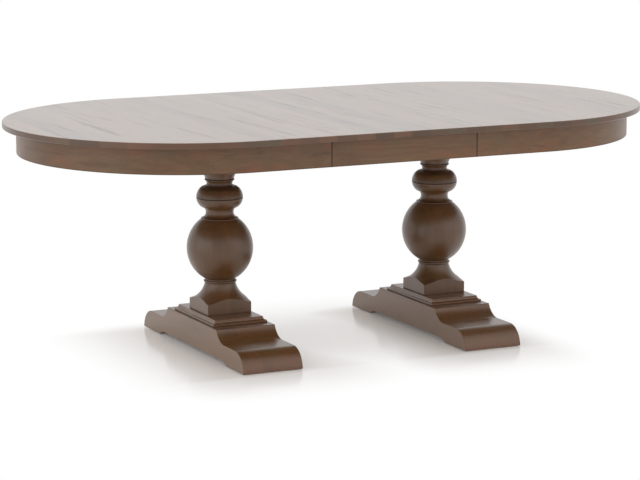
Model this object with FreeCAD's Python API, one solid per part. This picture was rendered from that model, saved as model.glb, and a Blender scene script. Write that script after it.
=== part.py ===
import FreeCAD, Part
import math
import os

from FreeCAD import Vector

os.makedirs("parts", exist_ok=True)

# An oval extension table on two turned pedestals, standing with its one leaf in place.
# X runs along the table, Y across it, Z up. The origin is on the floor under the middle.
# All sizes are in millimetres.

# Overall sizes
table_height = 760.0
table_length = 2190.0
table_width = 1170.0
leaf_length = 508.0
pedestal_x = 394.0

# Movement of the right half and of the leaf
opening_travel = 120.0
closing_travel = 509.0

# Clearances
seam_gap = 0.5
running_gap = 0.8
slide_clearance = 0.4
fit_clearance = 0.1
axle_clearance = 0.08
overrun = 5.0
tolerance = 0.01

# Top boards
top_thickness = 19.0
top_edge_round = 3.0
seam_ease = 0.9

# Apron under the top
apron_inset = 44.0
apron_height = 84.0
apron_thickness = 20.0
apron_edge_round = 2.0

# Glue blocks in the corner of the apron and the top
block_size = 22.0
block_length = 80.0
curved_block_count = 5
curved_block_spread_degrees = 66.0
leaf_block_x = 130.0

# Battens that keep the boards flat
batten_gap_to_plate = 7.5
batten_width = 45.0
batten_height = 28.0
batten_end_margin = 16.0
batten_seam_margin = 12.0

# Extension runners: the outer one is on the left half, the inner one on the right half
runner_width = 26.0
runner_height = 44.0
runner_length = 700.0
runner_seat = 3.0
runner_drop = 1.0
middle_top_gap = 1.0

# The middle runner's place, as a share of half the table's width
middle_runner_share = 0.3247863

# Dovetail tongue of the middle runner, and its groove in the other two
tongue_depth = 8.0
tongue_root = 10.0
tongue_tip = 15.0
tongue_below_top = 14.0
groove_extra_depth = 0.5

# Stop pegs that end the opening
stop_radius = 4.0
stop_setback = 15.0
stop_length = 24.0
stop_gap = 0.5

# Rack and pinion that keep the middle runners half way
gear_module = 1.5
gear_teeth = 20
gear_pressure_angle = 20.0
gear_addendum = 1.1
gear_dedendum = 1.6
gear_backlash = 0.3
gear_thickness = 7.0
gear_above_bottom = 12.0
gear_side_gap = 0.5
gear_pocket_gap = 0.8
rack_backing = 3.0
axle_radius = 3.0
axle_rise = 8.0

# Tie bar under the two middle runners
tie_bar_length = 60.0
tie_bar_height = 18.0

# Leaf pins, which the open notches of the leaf drop over
pin_radius = 4.0
pin_projection = 12.0
pin_depth = 25.0
pin_count = 6
pin_edge_margin = 115.0
notch_clearance = 0.3

# Mounting plate and its risers
plate_length = 200.0
plate_thickness = 20.0
plate_edge = 4.0
plate_gap_to_runner = 2.0
riser_length = 140.0
riser_gap_to_runner = 15.0
riser_gap_to_nut = 32.2
riser_margin = 4.0

# Width of the outer riser, as a share of half the table's width
outer_riser_share = 0.0875214

# Foot: a board on edge with an ogee at each end
foot_length = 823.0
foot_width = 205.0
foot_height = 105.0
foot_nose_length = 66.5
foot_nose_rise = 6.0
foot_nose_mid_in = 19.5
foot_nose_mid_height = 46.5
foot_ledge_height = 65.5
foot_ledge_length = 83.0
foot_hollow_length = 60.0
foot_lip = 2.0
foot_edge_round = 1.6
relief_height = 12.0
relief_pad_length = 139.5
relief_run = 36.0

# Base cap: the moulded slab between the foot and the column
cap_length = 321.0
cap_side_step = 8.0
cap_height = 19.0
cap_lip = 7.0
cap_lip_step = 1.2
cap_top_inset = 10.5
cap_bead = 4.5

# Square block at each end of the column
block_half = 76.5
block_edge_round = 1.8
lower_block_height = 35.0
upper_block_height = 58.0

# Radii of the turning between the two blocks, from the bottom
flare_neck = 49.9
flare_hollow = 12.3
lower_bead_edge = 50.6
lower_bead_radius = 53.9
lower_cove_radius = 49.0
ball_radius = 107.9
fillet_radius = 60.7
mid_cove_foot = 57.6
mid_cove_hollow = 8.6
bun_foot = 50.4
bun_radius = 75.6
bun_core = 42.9
bun_line_depth = 1.5
bun_line_width = 2.4
neck_hollow = 2.6
upper_bead_edge = 46.1
upper_bead_radius = 48.4
collar_radius = 46.2

# Heights along the turning, as shares of its length between the two blocks
flare_top_share = 0.1315
lower_bead_bottom_share = 0.133
lower_bead_top_share = 0.1481
ball_centre_share = 0.3809
ball_half_height_share = 0.2501
ball_top_share = 0.5902
fillet_top_share = 0.5958
bun_line_share = 0.7425
bun_centre_share = 0.7438
bun_half_height_share = 0.0786
bun_top_share = 0.8279
upper_bead_bottom_share = 0.8651
upper_bead_top_share = 0.876

# Tie rod with a flanged nut at each end
rod_radius = 6.0
rod_hole_radius = 7.5
rod_end_margin = 2.0
nut_height = 10.0
nut_flat_radius = 9.5
nut_flange_radius = 13.0
nut_flange_height = 2.5
nut_pocket_radius = 20.0
nut_pocket_depth = 24.0

# Nylon glides under the feet
glide_radius = 13.0
glide_proud = 2.0
glide_recess = 3.0
glide_edge = 0.8
glide_side_margin = 24.5
glide_end_margin = 36.5

# Wood screws
screw_radius = 2.3
screw_hole_radius = 2.6
screw_head_radius = 4.6
screw_head_height = 3.0
screw_bite = 11.0
lock_screw_bite = 8.0
runner_screw_x_shares = (0.10, 0.42, 0.74)
runner_screw_from_back = 8.6
plate_screw_x = 50.0

# Leaf locks
lock_gap_to_batten = 18.5
lock_pivot_from_seam = 24.0
lock_plate_length = 34.0
lock_plate_width = 62.0
lock_plate_thickness = 3.0
lock_gap = 0.5
lever_thickness = 4.0
lever_half_width = 8.0
lever_reach = 54.0
lever_tail = 24.0
lever_slot_radius = 43.0
stud_radius = 4.0
stud_clearance = 0.6
pivot_radius = 4.0
pivot_head_radius = 6.5
pivot_head_height = 2.5
keeper_length = 30.0
keeper_width = 48.0

# The outline and the levels of the top
half_width = table_width / 2
half_length = table_length / 2
end_centre_x = half_length - half_width
leaf_edge = leaf_length / 2
seam_x = leaf_edge + seam_gap
underside = table_height - top_thickness
pin_z = underside + top_thickness / 2
apron_bottom = underside - apron_height
apron_outer = half_width - apron_inset
apron_inner = apron_outer - apron_thickness

# The places of the runners, racks and pinions
middle_runner_y = half_width * middle_runner_share
runner_top = underside - runner_seat
runner_bottom = runner_top - runner_height
middle_bottom = runner_bottom - runner_drop
middle_top = runner_top - middle_top_gap
outer_runner_y = middle_runner_y + runner_width + running_gap
inner_runner_y = middle_runner_y - runner_width - running_gap
runner_start_x = seam_x - runner_length / 2
runner_end_x = runner_start_x + runner_length
tongue_z = runner_top - tongue_below_top
stop_x = runner_start_x + stop_setback
tongue_length = runner_length / 2 - stop_x - opening_travel / 2 - stop_radius - stop_gap
gear_z = runner_bottom + gear_above_bottom
gear_radius = gear_module * gear_teeth / 2
gear_pitch = math.pi * gear_module
rack_reach = (-opening_travel / 2 - 2 * gear_pitch, closing_travel / 2 + 2 * gear_pitch)
axle_top = gear_z + gear_thickness / 2 + gear_side_gap + axle_rise

# The levels and places of the pedestals, plates, battens and locks
plate_top = runner_bottom - plate_gap_to_runner
plate_bottom = plate_top - plate_thickness
inner_riser = (nut_flange_radius + riser_gap_to_nut, inner_runner_y - runner_width / 2 - riser_gap_to_runner)
outer_riser_start = outer_runner_y + runner_width / 2 + riser_gap_to_runner
outer_riser = (outer_riser_start, outer_riser_start + half_width * outer_riser_share)
plate_width = 2 * (outer_riser[1] + riser_margin)
batten_inner_y = plate_width / 2 + batten_gap_to_plate
batten_outer_y = batten_inner_y + batten_width
foot_half = foot_length / 2
foot_bottom = glide_proud
relief_top = foot_bottom + relief_height
cap_width = foot_width - 2 * cap_side_step
cap_top = foot_height + cap_height
turning_bottom = cap_top + lower_block_height
turning_length = plate_bottom - upper_block_height - turning_bottom
nut_seat = relief_top + nut_pocket_depth
lock_x = seam_x + lock_pivot_from_seam
lock_y = batten_outer_y + lock_gap_to_batten + lever_reach
lock_plate_bottom = underside - lock_plate_thickness
lever_top = lock_plate_bottom - lock_gap
lever_bottom = lever_top - lever_thickness
saved = []


def save(name, *solids):
    """Write one node: a single solid, or a group of separate like solids."""
    shape = solids[0] if len(solids) == 1 else Part.makeCompound(list(solids))
    for solid in shape.Solids:
        if not solid.isValid():
            raise ValueError(name + " has a solid that is not valid")
    if len(shape.Solids) != len(solids):
        raise ValueError(name + " has %d solids, not %d" % (len(shape.Solids), len(solids)))
    shape.exportStep("parts/" + name + ".step")
    saved.append(name)


def box(x, y, z):
    """A box between two places on each axis."""
    lows = [min(pair) for pair in (x, y, z)]
    sizes = [max(pair) - min(pair) for pair in (x, y, z)]
    return Part.makeBox(*sizes, Vector(*lows))


def around(middle, size):
    """The two ends of a size that is centred on a place."""
    return (middle - size / 2, middle + size / 2)


def post(x, y, z, radius):
    """An upright cylinder between two heights."""
    return Part.makeCylinder(radius, max(z) - min(z), Vector(x, y, min(z)))


def bar_along_x(x, y, z, radius):
    """A level cylinder between two places along the table."""
    return Part.makeCylinder(radius, max(x) - min(x), Vector(min(x), y, z), Vector(1, 0, 0))


def line(a, b):
    return Part.LineSegment(a, b).toShape()


def arc(a, b, c):
    return Part.Arc(a, b, c).toShape()


def polygon(points):
    """A flat face from its corners."""
    return Part.Face(Part.makePolygon(list(points) + [points[0]]))


def mirrored(shape, side, normal=Vector(1, 0, 0)):
    """The shape itself for side 1, and its mirror image for side -1."""
    return shape if side > 0 else shape.mirror(Vector(0, 0, 0), normal)


def across(shape):
    """The mirror image on the other long side of the table."""
    return mirrored(shape, -1, Vector(0, 1, 0))


def near(a, b):
    return abs(a - b) < tolerance


def edges_where(shape, test):
    """The edges whose every sampled point passes a test."""
    return [edge for edge in shape.Edges if all(test(p) for p in edge.discretize(5))]


def rim(shape, level):
    """The edges at one height, apart from the one along the seam."""
    level_edges = edges_where(shape, lambda p: near(p.z, level))
    return [edge for edge in level_edges if not all(near(p.x, seam_x) for p in edge.discretize(5))]


def front_too(places):
    """Places at the back, and their likes at the front."""
    return places + [(x, -y) for x, y in places]


def bored(shape, places, z, radius):
    """The shape with an upright hole at each place."""
    for x, y in places:
        shape = shape.cut(post(x, y, z, radius))
    return shape


def level_arc(a, b):
    """An arc across the table that leaves a level line at a, and ends at b."""
    run, rise = b.y - a.y, b.z - a.z
    radius = (run ** 2 + rise ** 2) / 2 / rise
    turn = math.asin(run / radius) / 2
    return arc(a, a + Vector(0, radius * math.sin(turn), radius * (1 - math.cos(turn))), b)


def hollow_point(a, b, hollow):
    """The middle of an arc from a to b in the XZ plane, bent towards the axis by its hollow."""
    chord = b - a
    normal = Vector(-chord.z, 0, chord.x).normalize()
    if normal.x > 0:
        normal = normal * -1
    return (a + b) * 0.5 + normal * hollow


# Tops
def half_outline(radius):
    """The outline of the right half at a given distance from the middle line."""
    z = underside
    a, b = Vector(seam_x, -radius, z), Vector(end_centre_x, -radius, z)
    c, d = Vector(end_centre_x, radius, z), Vector(seam_x, radius, z)
    tip = Vector(end_centre_x + radius, 0, z)
    return Part.Face(Part.Wire([line(a, b), arc(b, tip, c), line(c, d), line(d, a)]))


def seam_bevel(x):
    """A long wedge that eases the top edge on both sides of a seam face."""
    width = half_width + overrun
    corners = [
        Vector(x - seam_ease, -width, table_height),
        Vector(x, -width, table_height - seam_ease),
        Vector(x + seam_ease, -width, table_height),
    ]
    return polygon(corners).extrude(Vector(0, 2 * width, 0))


def pin_places_y():
    first = half_width - pin_edge_margin
    return [first - 2 * first * k / (pin_count - 1) for k in range(pin_count)]


def top_half(runner_y, facing):
    """The right half's top, with the holes for its pins and for the screws below it."""
    shape = half_outline(half_width).extrude(Vector(0, 0, top_thickness))
    shape = shape.makeFillet(top_edge_round, rim(shape, underside) + rim(shape, table_height))
    shape = shape.cut(seam_bevel(seam_x))
    for y in pin_places_y():
        reach = (seam_x - overrun, seam_x + pin_depth)
        shape = shape.cut(bar_along_x(reach, y, pin_z, pin_radius))
    screws = plate_screw_places() + front_too(runner_screw_places(runner_y, facing))
    shape = bored(shape, screws, (underside - overrun, underside + screw_bite), screw_radius)
    locks = front_too(lock_screw_places(lock_x, lock_plate_width))
    return bored(shape, locks, (underside - overrun, underside + lock_screw_bite), screw_radius)


def leaf_panel():
    """The leaf, with an open notch under its edge for each pin."""
    shape = box((-leaf_edge, leaf_edge), (-half_width, half_width), (underside, table_height))

    def long_edge(p):
        return near(abs(p.y), half_width) and (near(p.z, underside) or near(p.z, table_height))

    shape = shape.makeFillet(top_edge_round, edges_where(shape, long_edge))
    reach = pin_projection - seam_gap + notch_clearance
    radius = pin_radius + notch_clearance
    for side in (-1, 1):
        shape = shape.cut(seam_bevel(side * leaf_edge))
        ends = (side * (leaf_edge - reach), side * (leaf_edge + overrun))
        for y in pin_places_y():
            shape = shape.cut(bar_along_x(ends, y, pin_z, radius))
            shape = shape.cut(box(ends, around(y, 2 * radius), (underside - overrun, pin_z)))
        holes = front_too(lock_screw_places(side * keeper_stud_x(), keeper_width))
        shape = bored(shape, holes, (underside - overrun, underside + lock_screw_bite), screw_radius)
    return shape


# Aprons
def upright_bevel(x, y):
    """A wedge that eases the upright edge of an apron end at the seam."""
    side = 1 if y > 0 else -1
    z = apron_bottom - overrun
    points = [Vector(x - seam_ease, y, z), Vector(x, y - side * seam_ease, z), Vector(x + seam_ease, y, z)]
    outer = [Vector(x + seam_ease, y + side * seam_ease, z), Vector(x - seam_ease, y + side * seam_ease, z)]
    return polygon(points + outer).extrude(Vector(0, 0, apron_height + 2 * overrun))


def apron_half():
    """The bent apron of the right half, from seam to seam round the end."""
    ring = half_outline(apron_outer).cut(half_outline(apron_inner))
    shape = ring.extrude(Vector(0, 0, -apron_height))
    shape = shape.makeFillet(apron_edge_round, rim(shape, apron_bottom))
    for side in (-1, 1):
        shape = shape.cut(upright_bevel(seam_x, side * apron_outer))
    return shape


def leaf_apron():
    shape = box((-leaf_edge, leaf_edge), (apron_inner, apron_outer), (apron_bottom, underside))

    def lower_edge(p):
        return near(p.z, apron_bottom) and (near(p.y, apron_inner) or near(p.y, apron_outer))

    shape = shape.makeFillet(apron_edge_round, edges_where(shape, lower_edge))
    for side in (-1, 1):
        shape = shape.cut(upright_bevel(side * leaf_edge, apron_outer))
    return shape


def curved_block(angle):
    """A glue block that fits the hollow of the curved apron."""
    half_turn = math.degrees(block_length / 2 / apron_inner)
    z = underside - block_size
    corners = []
    for radius in (apron_inner - block_size, apron_inner):
        for turn in (-half_turn, 0, half_turn):
            a = math.radians(angle + turn)
            corners.append(Vector(end_centre_x + radius * math.cos(a), radius * math.sin(a), z))
    a, b, c, d, e, f = corners
    face = Part.Face(Part.Wire([arc(a, b, c), line(c, f), arc(f, e, d), line(d, a)]))
    return face.extrude(Vector(0, 0, block_size))


def straight_block(x):
    y = (apron_inner - block_size, apron_inner)
    return box(around(x, block_length), y, (underside - block_size, underside))


def half_blocks():
    first = -curved_block_spread_degrees
    step = 2 * curved_block_spread_degrees / (curved_block_count - 1)
    blocks = [curved_block(first + step * k) for k in range(curved_block_count)]
    straight = straight_block((seam_x + end_centre_x) / 2)
    return blocks + [straight, across(straight)]


def leaf_blocks():
    one = [straight_block(leaf_block_x), straight_block(-leaf_block_x)]
    return one + [across(block) for block in one]


# Battens
def batten(x):
    return box(x, (batten_inner_y, batten_outer_y), (underside - batten_height, underside))


def half_battens():
    reach = math.sqrt(apron_inner ** 2 - batten_outer_y ** 2)
    one = batten((seam_x + batten_seam_margin, end_centre_x + reach - batten_end_margin))
    return [one, across(one)]


def leaf_battens():
    one = batten((batten_seam_margin - leaf_edge, leaf_edge - batten_seam_margin))
    return [one, across(one)]


# Extension runners
def tongue(x, y, side, extra=0.0, depth=tongue_depth):
    """A dovetail along X that stands out from a face at y, on the given side."""
    slope = (tongue_tip - tongue_root) / 2 / tongue_depth
    inner, outer = y - side * running_gap, y + side * depth
    inner_half = tongue_root / 2 + extra - slope * running_gap
    outer_half = tongue_root / 2 + extra + slope * depth
    corners = [
        Vector(min(x), inner, tongue_z - inner_half),
        Vector(min(x), outer, tongue_z - outer_half),
        Vector(min(x), outer, tongue_z + outer_half),
        Vector(min(x), inner, tongue_z + inner_half),
    ]
    return polygon(corners).extrude(Vector(max(x) - min(x), 0, 0))


def half_runner(y, side):
    """The right half's runner, centred on y, with its groove and rack on the given side."""
    x = (runner_start_x, runner_end_x)
    shape = box(x, around(y, runner_width), (runner_bottom, runner_top))
    seat = (seam_x + batten_seam_margin, runner_end_x)
    shape = shape.fuse(box(seat, around(y, runner_width), (runner_top, underside))).removeSplitter()
    face = y + side * runner_width / 2
    past = (runner_start_x - overrun, runner_end_x + overrun)
    depth = tongue_depth - running_gap + groove_extra_depth
    shape = shape.cut(tongue(past, face, -side, slide_clearance, depth))
    back = middle_runner_y - side * (gear_radius + gear_dedendum + rack_backing)
    tall = around(gear_z, gear_thickness + 2 * fit_clearance)
    shape = shape.cut(box(rack_reach, (back, face + side * overrun), tall))
    peg_y = stop_place_y(face, side)
    peg_hole = (runner_top - stop_length, runner_top + overrun)
    shape = bored(shape, [(stop_x, peg_y)], peg_hole, stop_radius + fit_clearance)
    places = runner_screw_places(y, side)
    shape = bored(shape, places, (runner_bottom - overrun, underside + overrun), screw_hole_radius)
    pocket = (runner_bottom - overrun, runner_bottom + screw_head_height)
    return bored(shape, places, pocket, screw_head_radius + fit_clearance)


def stop_place_y(face, side):
    return face - side * (stop_radius + fit_clearance + running_gap)


def runner_screw_places(y, side):
    """The screws of the right half's runner, between the seam and the runner's end."""
    free = runner_end_x - seam_x
    place_y = y - side * (runner_width / 2 - runner_screw_from_back)
    return [(seam_x + free * share, place_y) for share in runner_screw_x_shares]


def wood_screw(x, y, bottom):
    """A flat-headed screw that holds a piece up to the boards of the top."""
    head = post(x, y, (bottom, bottom + screw_head_height), screw_head_radius)
    shank = post(x, y, (bottom, underside + screw_bite), screw_radius)
    return head.fuse(shank).removeSplitter()


def middle_runner():
    """The runner that floats between the other two, with a tongue on each face."""
    start, end = -runner_length / 2, runner_length / 2
    shape = box((start, end), around(middle_runner_y, runner_width), (middle_bottom, middle_top))
    face = runner_width / 2
    shape = shape.fuse(tongue((start, start + tongue_length), middle_runner_y + face, 1))
    shape = shape.fuse(tongue((end - tongue_length, end), middle_runner_y - face, -1))
    shape = shape.removeSplitter()
    pocket_half = gear_radius + gear_addendum + gear_pocket_gap
    tall = around(gear_z, gear_thickness + 2 * gear_side_gap)
    wide = around(middle_runner_y, runner_width + 2 * overrun)
    shape = shape.cut(box((-pocket_half, pocket_half), wide, tall))
    return bored(shape, [(0, middle_runner_y)], (middle_bottom - overrun, axle_top), axle_radius)


def tie_bar():
    """The board that joins the two middle runners, so that they move as one."""
    y = middle_runner_y + runner_width / 2
    return box(around(0, tie_bar_length), (-y, y), (middle_bottom - tie_bar_height, middle_bottom))


def stop_peg(y, side):
    peg_y = stop_place_y(y + side * runner_width / 2, side)
    return post(stop_x, peg_y, (runner_top - stop_length, runner_top), stop_radius)


# Rack and pinion
def rack(side):
    """The toothed strip in the right half's runner. Its teeth point to the given side."""
    face = middle_runner_y - side * (gear_radius - gear_addendum)
    root = middle_runner_y - side * (gear_radius + gear_dedendum)
    back = root - side * rack_backing
    slope = math.tan(math.radians(gear_pressure_angle))
    tip_half = gear_pitch / 4 - gear_backlash / 2 - slope * gear_addendum
    root_half = gear_pitch / 4 - gear_backlash / 2 + slope * gear_dedendum
    z = gear_z - gear_thickness / 2
    low, high = rack_reach
    first = math.ceil((low + root_half) / gear_pitch - 0.5)
    last = math.floor((high - root_half) / gear_pitch - 0.5)
    points = [Vector(high, root, z), Vector(high, back, z), Vector(low, back, z), Vector(low, root, z)]
    for k in range(first, last + 1):
        middle = (k + 0.5) * gear_pitch
        points.append(Vector(middle - root_half, root, z))
        points.append(Vector(middle - tip_half, face, z))
        points.append(Vector(middle + tip_half, face, z))
        points.append(Vector(middle + root_half, root, z))
    return polygon(points).extrude(Vector(0, 0, gear_thickness))


def involute(angle):
    """The turn of an involute curve where its pressure angle has the given value."""
    return math.tan(angle) - angle


def pinion():
    """A spur pinion with one tooth towards each rack."""
    pressure = math.radians(gear_pressure_angle)
    base = gear_radius * math.cos(pressure)
    half_tooth = math.pi / 2 / gear_teeth - gear_backlash / 2 / gear_radius
    flank = []
    for radius in (base, gear_radius, gear_radius + gear_addendum):
        lean = involute(math.acos(base / radius))
        flank.append((radius, half_tooth + involute(pressure) - lean))
    flank.insert(0, (gear_radius - gear_dedendum, flank[0][1]))
    points = []
    for k in range(gear_teeth):
        middle = math.pi / 2 + 2 * math.pi * k / gear_teeth
        for radius, turn in flank:
            points.append((radius, middle - turn))
        for radius, turn in reversed(flank):
            points.append((radius, middle + turn))
    z = gear_z - gear_thickness / 2
    corners = [Vector(r * math.cos(a), middle_runner_y + r * math.sin(a), z) for r, a in points]
    shape = polygon(corners).extrude(Vector(0, 0, gear_thickness))
    hole = post(0, middle_runner_y, (z - overrun, z + gear_thickness + overrun), axle_radius + axle_clearance)
    return shape.cut(hole)


def pinion_axle():
    return post(0, middle_runner_y, (middle_bottom, axle_top), axle_radius)


# Leaf pins
def leaf_pins():
    """The pins of the right half, with eased ends."""
    reach = (seam_x - pin_projection, seam_x + pin_depth)
    pins = []
    for y in pin_places_y():
        pin = bar_along_x(reach, y, pin_z, pin_radius)
        ends = [edge for edge in pin.Edges if len(edge.Vertexes) == 1]
        pins.append(pin.makeChamfer(pin_radius / 4, ends))
    return pins


# Mounting plate, risers and their screws
def riser_spans():
    """The two ends of each riser across the table: between the runner sets, and outside them."""
    back = [inner_riser, outer_riser]
    return back + [(-high, -low) for low, high in back]


def plate_screw_places():
    places = []
    for low, high in riser_spans():
        places += [(pedestal_x + dx, (low + high) / 2) for dx in (-plate_screw_x, plate_screw_x)]
    return places


def risers():
    found = []
    for span in riser_spans():
        block = box(around(pedestal_x, riser_length), span, (plate_top, underside))
        inside = [(x, y) for x, y in plate_screw_places() if min(span) < y < max(span)]
        found.append(bored(block, inside, (plate_top - overrun, underside + overrun), screw_hole_radius))
    return found


def mounting_plate():
    """The board that the column is bolted up to, chamfered round its lower edge."""
    shape = box(around(pedestal_x, plate_length), around(0, plate_width), (plate_bottom, plate_top))
    shape = shape.makeChamfer(plate_edge, edges_where(shape, lambda p: near(p.z, plate_bottom)))
    through = (plate_bottom - overrun, plate_top + overrun)
    shape = bored(shape, [(pedestal_x, 0)], through, rod_hole_radius)
    shape = bored(shape, plate_screw_places(), through, screw_hole_radius)
    pocket = (plate_bottom - overrun, plate_bottom + screw_head_height)
    return bored(shape, plate_screw_places(), pocket, screw_head_radius + fit_clearance)


# Pedestal
def foot_profile():
    """The foot's long side, with the same ogee at both ends and a relief cut below."""
    x = pedestal_x - foot_width / 2
    ledge_outer = foot_half - foot_nose_length
    ledge_inner = ledge_outer - foot_ledge_length
    top_half_length = ledge_inner - foot_hollow_length
    relief_outer = foot_half - relief_pad_length
    relief_inner = relief_outer - relief_run

    def at(y, z):
        return Vector(x, y, z)

    edges = []
    for side in (1, -1):
        crown = at(side * top_half_length, foot_height)
        lip = at(side * top_half_length, foot_height - foot_lip)
        inner = at(side * ledge_inner, foot_ledge_height)
        outer = at(side * ledge_outer, foot_ledge_height)
        nose_mid = at(side * (foot_half - foot_nose_mid_in), foot_nose_mid_height)
        nose = at(side * foot_half, foot_bottom + foot_nose_rise)
        toe = at(side * foot_half, foot_bottom)
        heel = at(side * relief_outer, foot_bottom)
        hollow = at(side * relief_inner, relief_top)
        edges += [line(crown, lip), level_arc(inner, lip), line(inner, outer), arc(outer, nose_mid, nose)]
        edges += [line(nose, toe), line(toe, heel), level_arc(hollow, heel)]
    edges.append(line(at(-top_half_length, foot_height), at(top_half_length, foot_height)))
    edges.append(line(at(-relief_inner, relief_top), at(relief_inner, relief_top)))
    return Part.Face(Part.Wire(Part.__sortEdges__(edges)))


def foot():
    """The foot with its long edges eased, its nut pocket and its glide recesses."""
    shape = foot_profile().extrude(Vector(foot_width, 0, 0))

    def shown(edge):
        heights = [p.z for p in edge.discretize(5)]
        return min(heights) > foot_bottom + tolerance and not near(max(heights), relief_top)

    sides = edges_where(shape, lambda p: near(abs(p.x - pedestal_x), foot_width / 2))
    shape = shape.makeFillet(foot_edge_round, [edge for edge in sides if shown(edge)])
    below = foot_bottom - overrun
    shape = bored(shape, [(pedestal_x, 0)], (below, foot_height + overrun), rod_hole_radius)
    shape = bored(shape, [(pedestal_x, 0)], (below, nut_seat), nut_pocket_radius)
    recess = (below, foot_bottom + glide_recess)
    return bored(shape, glide_places(), recess, glide_radius + fit_clearance)


def glide_places():
    dx = foot_width / 2 - glide_side_margin
    dy = foot_half - glide_end_margin
    return [(pedestal_x + i * dx, j * dy) for i in (-1, 1) for j in (-1, 1)]


def glides():
    found = []
    for x, y in glide_places():
        disc = post(x, y, (0, foot_bottom + glide_recess), glide_radius)
        found.append(disc.makeChamfer(glide_edge, edges_where(disc, lambda p: near(p.z, 0))))
    return found


def cap_bar(half, reach, along_x):
    """A bar with the cap's moulding on its two long sides: a lip, a cove and a top fillet."""
    lip, cove_top = foot_height + cap_lip, cap_top - cap_bead
    shelf, fillet = half - cap_lip_step, half - cap_top_inset
    cove_in = fillet + cap_lip_step
    mid_w = shelf - (shelf - cove_in) * math.sin(math.pi / 4)
    mid_z = cove_top - (cove_top - lip) * math.cos(math.pi / 4)

    def at(w, z):
        return Vector(-reach, w, z) if along_x else Vector(w, -reach, z)

    edges = []
    for side in (1, -1):
        edges.append(line(at(side * half, foot_height), at(side * half, lip)))
        edges.append(line(at(side * half, lip), at(side * shelf, lip)))
        edges.append(arc(at(side * shelf, lip), at(side * mid_w, mid_z), at(side * cove_in, cove_top)))
        edges.append(line(at(side * cove_in, cove_top), at(side * fillet, cove_top)))
        edges.append(line(at(side * fillet, cove_top), at(side * fillet, cap_top)))
    edges.append(line(at(-fillet, cap_top), at(fillet, cap_top)))
    edges.append(line(at(-half, foot_height), at(half, foot_height)))
    face = Part.Face(Part.Wire(Part.__sortEdges__(edges)))
    return face.extrude(Vector(2 * reach, 0, 0) if along_x else Vector(0, 2 * reach, 0))


def base_cap():
    """Two crossed moulded bars share the slab, which mitres the moulding at the corners."""
    lengthways = cap_bar(cap_length / 2, cap_width, True)
    crossways = cap_bar(cap_width / 2, cap_length, False)
    shape = lengthways.common(crossways).removeSplitter()
    shape.translate(Vector(pedestal_x, 0, 0))
    return bored(shape, [(pedestal_x, 0)], (foot_height - overrun, cap_top + overrun), rod_hole_radius)


def swell(centre, half_height, reach, low, high):
    """The outer side of an upright ellipse in the XZ plane, between two rises from its centre."""
    top = centre + Vector(0, 0, half_height)
    out = centre + Vector(reach, 0, 0)
    first, last = low / half_height, high / half_height
    if half_height > reach:
        return Part.Ellipse(top, out, centre).toShape(math.acos(last), math.acos(first))
    return Part.Ellipse(out, top, centre).toShape(math.asin(first), math.asin(last))


def other_leg(radius, leg):
    """What a quarter ellipse has left on one axis, as a share, for a size on the other."""
    return math.sqrt(1 - (leg / radius) ** 2)


def turned(radius, share):
    """A point of the turning: its radius, and its height as a share of the turning's length."""
    return Vector(radius, 0, turning_bottom + turning_length * share)


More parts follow.
